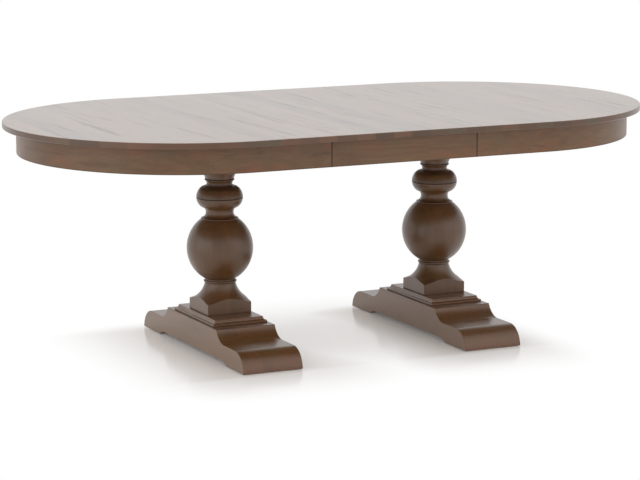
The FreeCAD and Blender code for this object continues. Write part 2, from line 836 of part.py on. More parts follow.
def column_profile():
    """The turning, with its two blocks as full rounds, as one closed face in the XZ plane."""
    corner = block_half * math.sqrt(2) - block_edge_round * (math.sqrt(2) - 1)
    wide = corner + overrun
    ball_height = ball_half_height_share * turning_length
    ball_start = -ball_height * other_leg(ball_radius, lower_cove_radius)
    ball_end = (ball_top_share - ball_centre_share) * turning_length
    ball = turned(0, ball_centre_share)
    ball_edge = ball_radius * other_leg(ball_height, ball_end)
    bun_height = bun_half_height_share * turning_length
    bun_rise = (bun_top_share - bun_centre_share) * turning_length
    bun_swell = bun_radius - bun_core
    bun_start = -bun_height * other_leg(bun_swell, bun_foot - bun_core)
    bun = turned(bun_core, bun_centre_share)
    block_low, flare_low = Vector(wide, 0, turning_bottom), turned(corner, 0)
    flare_high = turned(flare_neck, flare_top_share)
    bead_low = turned(lower_bead_edge, lower_bead_bottom_share)
    bead_high = turned(lower_bead_edge, lower_bead_top_share)
    bead_mid = turned(lower_bead_radius, (lower_bead_bottom_share + lower_bead_top_share) / 2)
    cove_low = turned(lower_cove_radius, lower_bead_top_share)
    ball_low = ball + Vector(lower_cove_radius, 0, ball_start)
    ball_high = ball + Vector(ball_edge, 0, ball_end)
    fillet_low, fillet_high = turned(fillet_radius, ball_top_share), turned(fillet_radius, fillet_top_share)
    hollow_low = turned(mid_cove_foot, fillet_top_share)
    hollow_high = bun + Vector(bun_foot - bun_core, 0, bun_start)
    bun_high = bun + Vector(0, 0, bun_rise)
    upper_low = turned(upper_bead_edge, upper_bead_bottom_share)
    upper_high = turned(upper_bead_edge, upper_bead_top_share)
    upper_mid = turned(upper_bead_radius, (upper_bead_bottom_share + upper_bead_top_share) / 2)
    top_low, top_high = turned(collar_radius, upper_bead_top_share), turned(corner, 1)
    block_high = turned(wide, 1)
    edges = [
        line(Vector(0, 0, plate_bottom), Vector(0, 0, cap_top)),
        line(Vector(0, 0, cap_top), Vector(wide, 0, cap_top)),
        line(Vector(wide, 0, cap_top), block_low),
        line(block_low, flare_low),
        arc(flare_low, hollow_point(flare_low, flare_high, flare_hollow), flare_high),
        line(flare_high, bead_low),
        arc(bead_low, bead_mid, bead_high),
        line(bead_high, cove_low),
        line(cove_low, ball_low),
        swell(ball, ball_height, ball_radius, ball_start, ball_end),
        line(ball_high, fillet_low),
        line(fillet_low, fillet_high),
        line(fillet_high, hollow_low),
        arc(hollow_low, hollow_point(hollow_low, hollow_high, mid_cove_hollow), hollow_high),
        swell(bun, bun_height, bun_swell, bun_start, 0),
        swell(bun, bun_rise, bun_swell, 0, bun_rise),
        arc(bun_high, hollow_point(bun_high, upper_low, neck_hollow), upper_low),
        arc(upper_low, upper_mid, upper_high),
        line(upper_high, top_low),
        arc(top_low, hollow_point(top_low, top_high, flare_hollow), top_high),
        line(top_high, block_high),
        line(block_high, Vector(wide, 0, plate_bottom)),
        line(Vector(wide, 0, plate_bottom), Vector(0, 0, plate_bottom)),
    ]
    return Part.Face(Part.Wire(edges))


def bun_line():
    """The sharp line that is cut round the bun, just below its widest place."""
    half_height = bun_line_width / 2 * (bun_line_depth + overrun) / bun_line_depth
    root = turned(bun_radius - bun_line_depth, bun_line_share)
    mouth = turned(bun_radius + overrun, bun_line_share)
    rise = Vector(0, 0, half_height)
    return polygon([root, mouth - rise, mouth + rise]).revolve(Vector(0, 0, 0), Vector(0, 0, 1), 360)


def block_billet(z):
    """A square length of the column with its upright edges eased."""
    shape = box(around(0, 2 * block_half), around(0, 2 * block_half), z)

    def corner_edge(p):
        return near(abs(p.x), block_half) and near(abs(p.y), block_half)

    return shape.makeFillet(block_edge_round, edges_where(shape, corner_edge))


def column():
    """The turned column: the full turning, cut back to a square block at each end."""
    full = column_profile().revolve(Vector(0, 0, 0), Vector(0, 0, 1), 360)
    low, high = turned(0, flare_top_share).z, turned(0, upper_bead_top_share).z
    barrel = post(0, 0, (low, high), ball_radius + overrun)
    billet = block_billet((cap_top, low)).fuse(barrel).fuse(block_billet((high, plate_bottom)))
    shape = full.common(billet).removeSplitter().cut(bun_line())
    shape = bored(shape, [(0, 0)], (cap_top - overrun, plate_bottom + overrun), rod_hole_radius)
    shape.translate(Vector(pedestal_x, 0, 0))
    return shape


def tie_rod():
    low = nut_seat - nut_height - rod_end_margin
    high = plate_top + nut_height + rod_end_margin
    return post(pedestal_x, 0, (low, high), rod_radius)


def flanged_nut(z, side):
    """A nut whose flange is at z. Side 1 puts the nut above its flange, and -1 below."""
    corner = Vector(nut_flat_radius / math.cos(math.pi / 6), 0, 0)
    turns = [math.pi / 3 * k for k in range(6)]
    ring = [Vector(corner.x * math.cos(turn), corner.x * math.sin(turn), 0) for turn in turns]
    hexagon = polygon(ring).extrude(Vector(0, 0, nut_height))
    shape = hexagon.fuse(post(0, 0, (0, nut_flange_height), nut_flange_radius)).removeSplitter()
    shape = shape.cut(post(0, 0, (-overrun, nut_height + overrun), rod_radius + fit_clearance))
    if side < 0:
        shape.rotate(Vector(0, 0, 0), Vector(1, 0, 0), 180)
    shape.translate(Vector(pedestal_x, 0, z))
    return shape


# Leaf locks
def lock_screw_places(x, width):
    """The two screws of a lock's plate or keeper, near its ends."""
    dy = width / 2 - 2 * screw_head_radius
    return [(x, lock_y - dy), (x, lock_y + dy)]


def countersunk_screw(x, y, extra=0.0):
    """A countersunk screw, flush with the lower face of a lock's plate or keeper."""
    height = screw_head_radius - screw_radius
    place = Vector(x, y, lock_plate_bottom)
    head = Part.makeCone(screw_head_radius + extra, screw_radius + extra, height, place)
    shank = post(x, y, (lock_plate_bottom, underside + lock_screw_bite), screw_radius + extra)
    return head.fuse(shank).removeSplitter()


def lock_plate(x, length, width):
    """A steel plate under the boards, countersunk for its two screws."""
    shape = box(around(x, length), around(lock_y, width), (lock_plate_bottom, underside))
    for screw_x, screw_y in lock_screw_places(x, width):
        shape = shape.cut(countersunk_screw(screw_x, screw_y, fit_clearance))
    return shape


def lock_base():
    """The plate under the right half with its pivot stud, at the back."""
    head_bottom = lever_bottom - lock_gap - pivot_head_height
    stem = post(lock_x, lock_y, (head_bottom, lock_plate_bottom), pivot_radius)
    head = post(lock_x, lock_y, (head_bottom, head_bottom + pivot_head_height), pivot_head_radius)
    return lock_plate(lock_x, lock_plate_length, lock_plate_width).fuse(stem).fuse(head).removeSplitter()


def lock_lever():
    """The hooked lever, open: it lies along the seam, towards the middle of the table."""
    tall = (lever_bottom - overrun, lever_top + overrun)
    length = (lock_y - lever_reach, lock_y + lever_tail)
    shape = box(around(lock_x, 2 * lever_half_width), length, (lever_bottom, lever_top))

    def corner_edge(p):
        return near(abs(p.x - lock_x), lever_half_width) and (near(p.y, length[0]) or near(p.y, length[1]))

    shape = shape.makeFillet(lever_half_width / 2, edges_where(shape, corner_edge))
    radius = stud_radius + stud_clearance
    ring = post(lock_x, lock_y, tall, lever_slot_radius + radius)
    ring = ring.cut(post(lock_x, lock_y, tall, lever_slot_radius - radius))
    mouth = box((lock_x, lock_x - lever_half_width - overrun), (lock_y, length[0] - overrun), tall)
    shape = shape.cut(ring.common(mouth))
    shape = bored(shape, [(lock_x, lock_y - lever_slot_radius)], tall, radius)
    return bored(shape, [(lock_x, lock_y)], tall, pivot_radius + axle_clearance)


def keeper_stud_x():
    return lock_x - lever_slot_radius


def keeper():
    """The plate under the leaf with the stud that the lever's hook takes."""
    stud = post(keeper_stud_x(), lock_y, (lever_bottom - lock_gap, lock_plate_bottom), stud_radius)
    return lock_plate(keeper_stud_x(), keeper_length, keeper_width).fuse(stud).removeSplitter()


def lock_screws(x, width):
    return [countersunk_screw(place_x, y) for place_x, y in lock_screw_places(x, width)]


def all_four(shapes):
    """Shapes of the right half's back, and their likes in the other three quarters."""
    back = list(shapes) + [mirrored(shape, -1) for shape in shapes]
    return back + [across(shape) for shape in back]


save("leaf_panel", leaf_panel())
save("leaf_apron_front", across(leaf_apron()))
save("leaf_apron_back", leaf_apron())
save("leaf_glue_blocks", *leaf_blocks())
save("leaf_battens", *leaf_battens())
save("leaf_keepers", *all_four([keeper()]))
save("keeper_screws", *all_four(lock_screws(keeper_stud_x(), keeper_width)))
save("runner_middle_front", across(middle_runner()))
save("runner_middle_back", middle_runner())
save("runner_tie_bar", tie_bar())
save("pinion_axles", pinion_axle(), across(pinion_axle()))
save("pinion_front", across(pinion()))
save("pinion_back", pinion())

# Everything is drawn for the right half. The left half is its mirror image, but it holds the
# outer runner of each set, whose groove and rack face the middle of the table.
for name, side, runner_y, facing in (("left", -1, outer_runner_y, -1), ("right", 1, inner_runner_y, 1)):

    def placed(shapes):
        return [mirrored(shape, side) for shape in shapes]

    def both_sides(shapes):
        return placed(shapes) + [across(shape) for shape in placed(shapes)]

    save("top_" + name, *placed([top_half(runner_y, facing)]))
    save("apron_" + name, *placed([apron_half()]))
    save("glue_blocks_" + name, *placed(half_blocks()))
    save("battens_" + name, *placed(half_battens()))
    save("leaf_pins_" + name, *placed(leaf_pins()))
    runner_front, runner_back = reversed(both_sides([half_runner(runner_y, facing)]))
    save("runner_" + name + "_front", runner_front)
    save("runner_" + name + "_back", runner_back)
    screws = [wood_screw(x, y, runner_bottom) for x, y in runner_screw_places(runner_y, facing)]
    save("runner_screws_" + name, *both_sides(screws))
    save("racks_" + name, *both_sides([rack(facing)]))
    save("stop_pegs_" + name, *both_sides([stop_peg(runner_y, facing)]))
    save("risers_" + name, *placed(risers()))
    save("mounting_plate_" + name, *placed([mounting_plate()]))
    save("plate_screws_" + name, *placed([wood_screw(x, y, plate_bottom) for x, y in plate_screw_places()]))
    save("column_" + name, *placed([column()]))
    save("base_cap_" + name, *placed([base_cap()]))
    save("foot_" + name, *placed([foot()]))
    save("glides_" + name, *placed(glides()))
    save("tie_rod_" + name, *placed([tie_rod()]))
    save("tie_nuts_" + name, *placed([flanged_nut(plate_top, 1), flanged_nut(nut_seat, -1)]))
    save("lock_bases_" + name, *both_sides([lock_base()]))
    save("lock_screws_" + name, *both_sides(lock_screws(lock_x, lock_plate_width)))
    lever_front, lever_back = reversed(both_sides([lock_lever()]))
    save("lock_lever_" + name + "_front", lever_front)
    save("lock_lever_" + name + "_back", lever_back)

print(len(saved), "nodes")
print("lock pivot", lock_x, lock_y, "pinion pitch radius", gear_radius, "middle runner at", middle_runner_y)
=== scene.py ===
# %% [markdown]
# # An oval extension table
# This lesson dresses an oval dining table in its finished wood. The table stands on two turned
# pedestals, with one loose leaf between the halves of its top. The construction is already
# there: every board, runner, screw and lock is a solid with a place and a size. What is left
# is what a cabinet shop does last, which is to ease the edges and to stain and lacquer the wood.

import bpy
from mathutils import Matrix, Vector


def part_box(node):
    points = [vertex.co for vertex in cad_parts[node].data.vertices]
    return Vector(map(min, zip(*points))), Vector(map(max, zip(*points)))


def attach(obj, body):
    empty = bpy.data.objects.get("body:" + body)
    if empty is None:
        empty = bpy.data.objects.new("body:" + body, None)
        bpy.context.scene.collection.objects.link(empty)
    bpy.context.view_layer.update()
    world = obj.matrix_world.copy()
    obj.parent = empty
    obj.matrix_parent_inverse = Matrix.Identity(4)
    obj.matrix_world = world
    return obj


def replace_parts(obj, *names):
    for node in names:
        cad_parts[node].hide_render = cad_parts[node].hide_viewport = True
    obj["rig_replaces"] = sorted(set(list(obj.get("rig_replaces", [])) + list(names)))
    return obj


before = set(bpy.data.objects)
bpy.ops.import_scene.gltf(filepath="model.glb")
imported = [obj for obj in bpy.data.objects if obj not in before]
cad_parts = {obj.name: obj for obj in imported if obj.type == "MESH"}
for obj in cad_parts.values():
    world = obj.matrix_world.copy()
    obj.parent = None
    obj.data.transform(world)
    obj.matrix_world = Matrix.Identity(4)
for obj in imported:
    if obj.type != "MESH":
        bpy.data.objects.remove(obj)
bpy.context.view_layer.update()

# %% [markdown]
# ## Camera
# The table is seen from a little above its top and from the left, through a long lens from far
# away, so that its edges stay nearly parallel. The camera comes first, because every later
# choice of edge, sheen and grain is judged through it.

# %% Camera
import bmesh
import bpy
import math
from mathutils import Vector

CAMERA_PLACE = (-3.7580, -7.7047, 1.8403)
CAMERA_TILT = 79.976
CAMERA_TURN = -25.801
LENS_LENGTH = 147.9
SENSOR_WIDTH = 36

bpy.ops.object.select_all(action="DESELECT")
bpy.ops.object.camera_add(
    location=CAMERA_PLACE,
    rotation=(math.radians(CAMERA_TILT), 0, math.radians(CAMERA_TURN)),
)
camera = bpy.context.object
camera.name = "portrait_camera"
camera.data.lens = LENS_LENGTH
camera.data.sensor_width = SENSOR_WIDTH
bpy.context.scene.camera = camera
bpy.context.scene.view_settings.view_transform = "Standard"
print("camera", round(camera.location.length, 2), "m from the middle of the floor")

# %% [markdown]
# ## A small hand at the workbench
# Each piece is shaped as by hand: take one object, open it in edit mode, choose edges or faces
# by where they are, and push, bevel or spin them. A few helpers do the choosing. Choosing by
# place is safer than choosing by number, because numbers change when the shape does.

# %% Choosing
SAME_PLACE = 1e-5
WELD_REACH = 1e-6
SELECT_MODE = {"verts": "VERT", "edges": "EDGE", "faces": "FACE"}


def take(piece):
    """Select one object alone and make it the active one."""
    bpy.ops.object.select_all(action="DESELECT")
    piece.select_set(True)
    bpy.context.view_layer.objects.active = piece
    return piece


def opened(piece):
    """Go into edit mode on one piece."""
    take(piece)
    bpy.ops.object.mode_set(mode="EDIT")


def closed():
    """Merge doubled points, turn all faces outwards and leave edit mode."""
    bpy.ops.mesh.select_all(action="SELECT")
    bpy.ops.mesh.remove_doubles(threshold=WELD_REACH)
    bpy.ops.mesh.normals_make_consistent(inside=False)
    bpy.ops.object.mode_set(mode="OBJECT")


def same(a, b):
    """Whether two measures agree closely enough to be one place."""
    return abs(a - b) < SAME_PLACE


def none_chosen(kind):
    """In edit mode, deselect everything and give back the mesh to choose from."""
    bpy.ops.mesh.select_mode(type=SELECT_MODE[kind])
    bpy.ops.mesh.select_all(action="DESELECT")
    return bmesh.from_edit_mesh(bpy.context.object.data)


def chosen(mesh):
    """Let Blender know what was chosen."""
    mesh.select_flush_mode()
    bmesh.update_edit_mesh(bpy.context.object.data)


def choose(kind, test):
    """Select only what has every corner passing a test."""
    mesh = none_chosen(kind)
    for element in getattr(mesh, kind):
        corners = [element] if kind == "verts" else element.verts
        if all(test(corner.co) for corner in corners):
            element.select_set(True)
    chosen(mesh)


def choose_edges(test):
    """Select only the edges whose two ends pass a test together."""
    mesh = none_chosen("edges")
    for edge in mesh.edges:
        if test(edge.verts[0].co, edge.verts[1].co):
            edge.select_set(True)
    chosen(mesh)


# %% [markdown]
# Some moves come back for many pieces, such as pushing what is chosen outwards, rounding it over,
# or cutting one piece with another. Each has a helper with a plain name, so that the steps of a
# piece read like a maker's list.

# %% Shaping
def settle(piece):
    """Put the object's place, turn and scale into its mesh, so that its origin is the table's."""
    take(piece)
    bpy.ops.object.transform_apply(location=True, rotation=True, scale=True)
    return piece


def pushed(x=0.0, y=0.0, z=0.0):
    """Extrude what is selected."""
    bpy.ops.mesh.extrude_region_move(TRANSFORM_OT_translate={"value": (x, y, z)})


def eased(width, segments):
    """Round the selected edges over."""
    bpy.ops.mesh.bevel(offset=width, offset_type="OFFSET", segments=segments, affect="EDGES")


def block(low, high):
    """A rectangular blank between two corners."""
    low, high = Vector(low), Vector(high)
    bpy.ops.mesh.primitive_cube_add(size=1, location=(low + high) / 2, scale=high - low)
    return settle(bpy.context.object)


def with_modifier(piece, kind, **settings):
    """Add one modifier, set it and apply it."""
    take(piece)
    bpy.ops.object.modifier_add(type=kind)
    modifier = piece.modifiers[-1]
    for name, value in settings.items():
        setattr(modifier, name, value)
    bpy.ops.object.modifier_apply(modifier=modifier.name)
    return piece


def carved(piece, tool, operation):
    """Cut a piece with a closed tool, or keep only what both share, and put the tool away."""
    with_modifier(piece, "BOOLEAN", operation=operation, object=tool, solver="EXACT")
    bpy.data.objects.remove(tool)
    return piece


def other_hand(piece):
    """A mirror image for the left half of the table."""
    take(piece)
    bpy.ops.object.duplicate()
    copy = bpy.context.object
    opened(copy)
    bpy.ops.mesh.select_all(action="SELECT")
    bpy.ops.transform.resize(value=(-1, 1, 1), center_override=(0, 0, 0))
    closed()
    return copy


# %% [markdown]
# A finished piece gets its name, smooth shading where its faces are rounded, and its place in the
# construction: the body that it moves with, and the solid that it stands in for. Its open edges
# are counted too, because a sound piece has none.

# %% Signing off a piece
SMOOTH_ANGLE = 38
FACE_WEIGHT = 80
MADE = []


def loose_edges(piece):
    """How many edges don't join exactly two faces, which is 0 on a closed solid."""
    count = {}
    for face in piece.data.polygons:
        for key in face.edge_keys:
            count[key] = count.get(key, 0) + 1
    return sum(1 for edge in piece.data.edges if count.get(tuple(sorted(edge.vertices)), 0) != 2)


def finished(piece, name, body, node):
    """Name a piece, smooth its rounded faces, and let it stand for its node."""
    piece.name = piece.data.name = name
    take(piece)
    bpy.ops.object.shade_smooth_by_angle(angle=math.radians(SMOOTH_ANGLE))
    with_modifier(piece, "WEIGHTED_NORMAL", mode="FACE_AREA", weight=FACE_WEIGHT, keep_sharp=True)
    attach(piece, body)
    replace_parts(piece, node)
    MADE.append(piece)
    print(name, "faces", len(piece.data.polygons), "open edges", loose_edges(piece))


# %% [markdown]
# ## The halves of the top
# Each half of the top is a board with a half-round end, a softly rounded edge, and a sharp
# straight side where it meets the leaf. It could be cut from a rectangle with a saw-like
# boolean, but a full round that is bisected gives a cleaner curve: half of the round stays, its
# straight side is drawn out to the seam, and the outline is raised to the board's thickness.

# %% Halves of the top
EDGE_ROUND = 0.003
EDGE_STEPS = 5
SEAM_EASE = 0.0009
SEAM_STEPS = 2
ROUND_STEPS = 288
ALMOST_STRAIGHT = 0.1
top_low, top_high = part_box("top_right")


def half_boards():
    """A board from the seam to the half-round end. It is left open in edit mode."""
    radius = top_high.y
    centre_x = top_high.x - radius
    bpy.ops.mesh.primitive_circle_add(
        vertices=ROUND_STEPS, radius=radius, fill_type="NGON", location=(centre_x, 0, top_low.z)
    )
    piece = settle(bpy.context.object)
    opened(piece)
    bpy.ops.mesh.select_all(action="SELECT")
    bpy.ops.mesh.bisect(plane_co=(centre_x, 0, top_low.z), plane_no=(1, 0, 0), clear_inner=True)
    choose("edges", lambda p: same(p.x, centre_x))
    pushed(x=top_low.x - centre_x)
    bpy.ops.mesh.select_all(action="SELECT")
    bpy.ops.mesh.dissolve_limited(angle_limit=math.radians(ALMOST_STRAIGHT))
    bpy.ops.mesh.select_all(action="SELECT")
    pushed(z=top_high.z - top_low.z)
    bpy.ops.mesh.select_all(action="SELECT")
    bpy.ops.mesh.normals_make_consistent(inside=False)
    return piece


def ease_rim(piece):
    """Round the upper and lower rim, and ease the seam's upper edge only slightly."""
    seam_x = top_low.x
    choose_edges(lambda a, b: same(a.z, b.z) and not (same(a.x, seam_x) and same(b.x, seam_x)))
    eased(EDGE_ROUND, EDGE_STEPS)
    choose("edges", lambda p: same(p.x, seam_x) and same(p.z, top_high.z))
    eased(SEAM_EASE, SEAM_STEPS)
    closed()
    return piece


right_boards = ease_rim(half_boards())
left_boards = other_hand(right_boards)
finished(right_boards, "boards_right", "right_half", "top_right")
finished(left_boards, "boards_left", "left_half", "top_left")

# %% [markdown]
# ## The leaf
# The leaf is a plain board between the halves. Under both of its long sides it has open
# notches, which drop over the pins of the halves. A notch is the pin's round with its lower half
# drawn down out of the board, so one circle gives the whole cutter. The notches show only
# when the leaf is lifted, but then they are what makes the leaf believable.

# %% The leaf
PIN_COUNT = 6
PIN_END_MARGIN = 0.115
NOTCH_RADIUS = 0.0043
NOTCH_DEPTH = 0.0118
NOTCH_STEPS = 24
DRAWN_OUT = 0.02
leaf_low, leaf_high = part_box("leaf_panel")


def notch_cutter(side, y, z):
    """A round bar over one pin, with its lower half drawn down out of the board."""
    start_x = side * (leaf_high.x - NOTCH_DEPTH)
    bpy.ops.mesh.primitive_circle_add(
        vertices=NOTCH_STEPS,
        radius=NOTCH_RADIUS,
        fill_type="NGON",
        location=(start_x, y, z),
        rotation=(0, math.pi / 2, 0),
    )
    cutter = settle(bpy.context.object)
    opened(cutter)
    choose("verts", lambda p: p.z < z - NOTCH_RADIUS / 10)
    bpy.ops.transform.translate(value=(0, 0, -DRAWN_OUT))
    bpy.ops.mesh.select_all(action="SELECT")
    pushed(x=side * DRAWN_OUT)
    closed()
    return cutter


def leaf_boards():
    """The leaf's panel, with the notches for the pins of both halves."""
    piece = block(leaf_low, leaf_high)
    opened(piece)
    for y in (leaf_low.y, leaf_high.y):
        for z in (leaf_low.z, leaf_high.z):
            choose("edges", lambda p: same(p.y, y) and same(p.z, z))
            eased(EDGE_ROUND, EDGE_STEPS)
    for x in (leaf_low.x, leaf_high.x):
        choose("edges", lambda p: same(p.x, x) and same(p.z, leaf_high.z))
        eased(SEAM_EASE, SEAM_STEPS)
    closed()
    last_pin_y = leaf_high.y - PIN_END_MARGIN
    middle_z = (leaf_low.z + leaf_high.z) / 2
    for side in (-1, 1):
        for k in range(PIN_COUNT):
            y = last_pin_y - 2 * last_pin_y * k / (PIN_COUNT - 1)
            carved(piece, notch_cutter(side, y, middle_z), "DIFFERENCE")
    return piece


finished(leaf_boards(), "boards_leaf", "leaf", "leaf_panel")

# %% [markdown]
# ## The bent aprons
# Under each half a band of wood runs straight from the seam, bends round the end, and runs
# straight back to the other seam. A bent strip is best made the way that it is bent: its
# section is drawn once, pushed along the straight, spun through half a turn, and pushed along
# the straight again. The section's lower corners are rounded first, and the sweep carries them.

# %% Bent aprons
APRON_THICKNESS = 0.020
APRON_EDGE = 0.002
APRON_STEPS = 4
BEND_STEPS = 144
apron_low, apron_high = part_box("apron_right")


def apron_section(x):
    """The cross-section of the apron at the front, with its lower corners rounded."""
    middle_y = apron_low.y + APRON_THICKNESS / 2
    middle_z = (apron_low.z + apron_high.z) / 2
    bpy.ops.mesh.primitive_plane_add(
        size=1, location=(x, middle_y, middle_z), rotation=(0, math.pi / 2, 0)
    )
    piece = bpy.context.object
    piece.scale = (apron_high.z - apron_low.z, APRON_THICKNESS, 1)
    settle(piece)
    opened(piece)
    choose("verts", lambda p: same(p.z, apron_low.z))
    bpy.ops.mesh.bevel(offset=APRON_EDGE, segments=APRON_STEPS, affect="VERTICES")
    bpy.ops.mesh.select_all(action="SELECT")
    return piece


def bent_apron():
    """The section, drawn along the front, round the end and along the back."""
    centre_x = apron_high.x + apron_low.y
    piece = apron_section(apron_low.x)
    pushed(x=centre_x - apron_low.x)
    bpy.ops.mesh.spin(steps=BEND_STEPS, angle=-math.pi, center=(centre_x, 0, 0), axis=(0, 0, 1))
    pushed(x=apron_low.x - centre_x)
    closed()
    opened(piece)
    outer = -apron_low.y
    choose("edges", lambda p: same(p.x, apron_low.x) and same(abs(p.y), outer))
    eased(SEAM_EASE, SEAM_STEPS)
    closed()
    return piece


right_apron = bent_apron()
left_apron = other_hand(right_apron)
finished(right_apron, "bent_apron_right", "right_half", "apron_right")
finished(left_apron, "bent_apron_left", "left_half", "apron_left")

# %% [markdown]
# The leaf carries two short straight pieces of the same apron, one in front and one behind. They
# aren't cut from the bent strip, because they lift off with the leaf. Each is a plain blank with
# the same rounded lower edges, and the faint line at each seam comes from two eased corners.

# %% The leaf's aprons
def straight_apron(node, side):
    """The piece of apron on one side of the leaf. side is 1 for the back and -1 for the front."""
    low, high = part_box(node)
    outer = high.y if side > 0 else low.y
    piece = block(low, high)
    opened(piece)
    for y in (low.y, high.y):
        choose("edges", lambda p: same(p.y, y) and same(p.z, low.z))
        eased(APRON_EDGE, APRON_STEPS)
    choose("edges", lambda p: same(abs(p.x), high.x) and same(p.y, outer))
    eased(SEAM_EASE, SEAM_STEPS)
    closed()
    return piece


for end, side in (("front", -1), ("back", 1)):
    node = "leaf_apron_" + end
    finished(straight_apron(node, side), "straight_apron_" + end, "leaf", node)

# %% [markdown]
# ## The turned columns
# A turner starts with a square billet, leaves a square block at each end, and turns the rest to
# a profile: a hollow flare, a bead, a large ball, a fillet, a cove, a flattened bun with a
# line cut round it, a neck, a second bead and a second flare. The profile is drawn
# here as a chain of points, its sharp corners are rounded a little, and it is spun once round.
# The square blocks come from keeping only what the turning and the billet share, which
# also gives the arched shoulders where the flare runs out into the flat faces.

# %% Profile of the column
COLUMN_X = 0.394
BLOCK_HALF = 0.0765
BLOCK_EASE = 0.0018
LOWER_BLOCK = 0.035
UPPER_BLOCK = 0.058
BLANK_SPARE = 0.010

# Heights, as shares of the turned length from its lower end.
FLARE_TOP = 0.1315
LOWER_BEAD = (0.1330, 0.1481)
BALL_MIDDLE = 0.3809
BALL_HALF = 0.2501
BALL_TOP = 0.5902
FILLET_TOP = 0.5958
BUN_LINE = 0.7425
BUN_MIDDLE = 0.7438
BUN_HALF = 0.0786
BUN_TOP = 0.8279
UPPER_BEAD = (0.8651, 0.8760)

# Radii, in metres, from the foot of the column upwards.
FLARE_RADIUS = 0.0499
LOWER_BEAD_RADIUS = 0.0506
COVE_RADIUS = 0.0490
BALL_RADIUS = 0.1079
FILLET_RADIUS = 0.0607
COLLAR_RADIUS = 0.0576
BUN_FOOT = 0.0504
BUN_RADIUS = 0.0756
BUN_CORE = 0.0429
NECK_RADIUS = 0.0461
UPPER_FLARE_RADIUS = 0.0462

# How far the curves between them bend in or out.
FLARE_HOLLOW = 0.0123
COLLAR_HOLLOW = 0.0086
NECK_HOLLOW = 0.0026
LOWER_BEAD_BULGE = 0.0033
UPPER_BEAD_BULGE = 0.0023
LINE_HALF = 0.0012
LINE_DEPTH = 0.0015

# In how many steps each curve is drawn.
FLARE_STEPS = 18
BEAD_STEPS = 12
BALL_STEPS = 56
COLLAR_STEPS = 16
BUN_STEPS = (12, 18)

column_low, column_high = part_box("column_right")
turning_low = column_low.z + LOWER_BLOCK
turning_high = column_high.z - UPPER_BLOCK
turning_length = turning_high - turning_low
print("turned over", round(turning_length, 4), "m between two square blocks")


def height(share):
    """The height above the floor of a share of the turned length."""
    return turning_low + turning_length * share


def arched(a, b, hollow, count=BEAD_STEPS):
    """Points of an arc from a to b that is bent sideways by its hollow."""
    a, b = Vector(a), Vector(b)
    chord = b - a
    normal = Vector((-chord.y, chord.x)).normalized()
    if normal.x > 0:
        normal = -normal
    normal *= math.copysign(1, hollow)
    depth = abs(hollow)
    radius = (chord.length ** 2 / 4 + depth ** 2) / (2 * depth)
    centre = (a + b) / 2 + normal * (depth - radius)
    half_turn = math.asin(min(1, chord.length / 2 / radius))
    points = []
    for k in range(count + 1):
        turn = half_turn * (2 * k / count - 1)
        outward = normal * radius * math.cos(turn)
        points.append(centre + outward + chord.normalized() * radius * math.sin(turn))
    return points


def bulged(core, centre_z, half_height, reach, low, high, count):
    """Points of an upright half ellipse between two heights, beside a core."""
    first, last = [math.asin((z - centre_z) / half_height) for z in (low, high)]
    turns = [first + (last - first) * k / count for k in range(count + 1)]
    return [
        Vector((core + reach * math.cos(t), centre_z + half_height * math.sin(t))) for t in turns
    ]


def other_leg(radius, leg):
    """What a quarter ellipse has left on one axis, as a share, for a size on the other."""
    return math.sqrt(1 - (leg / radius) ** 2)


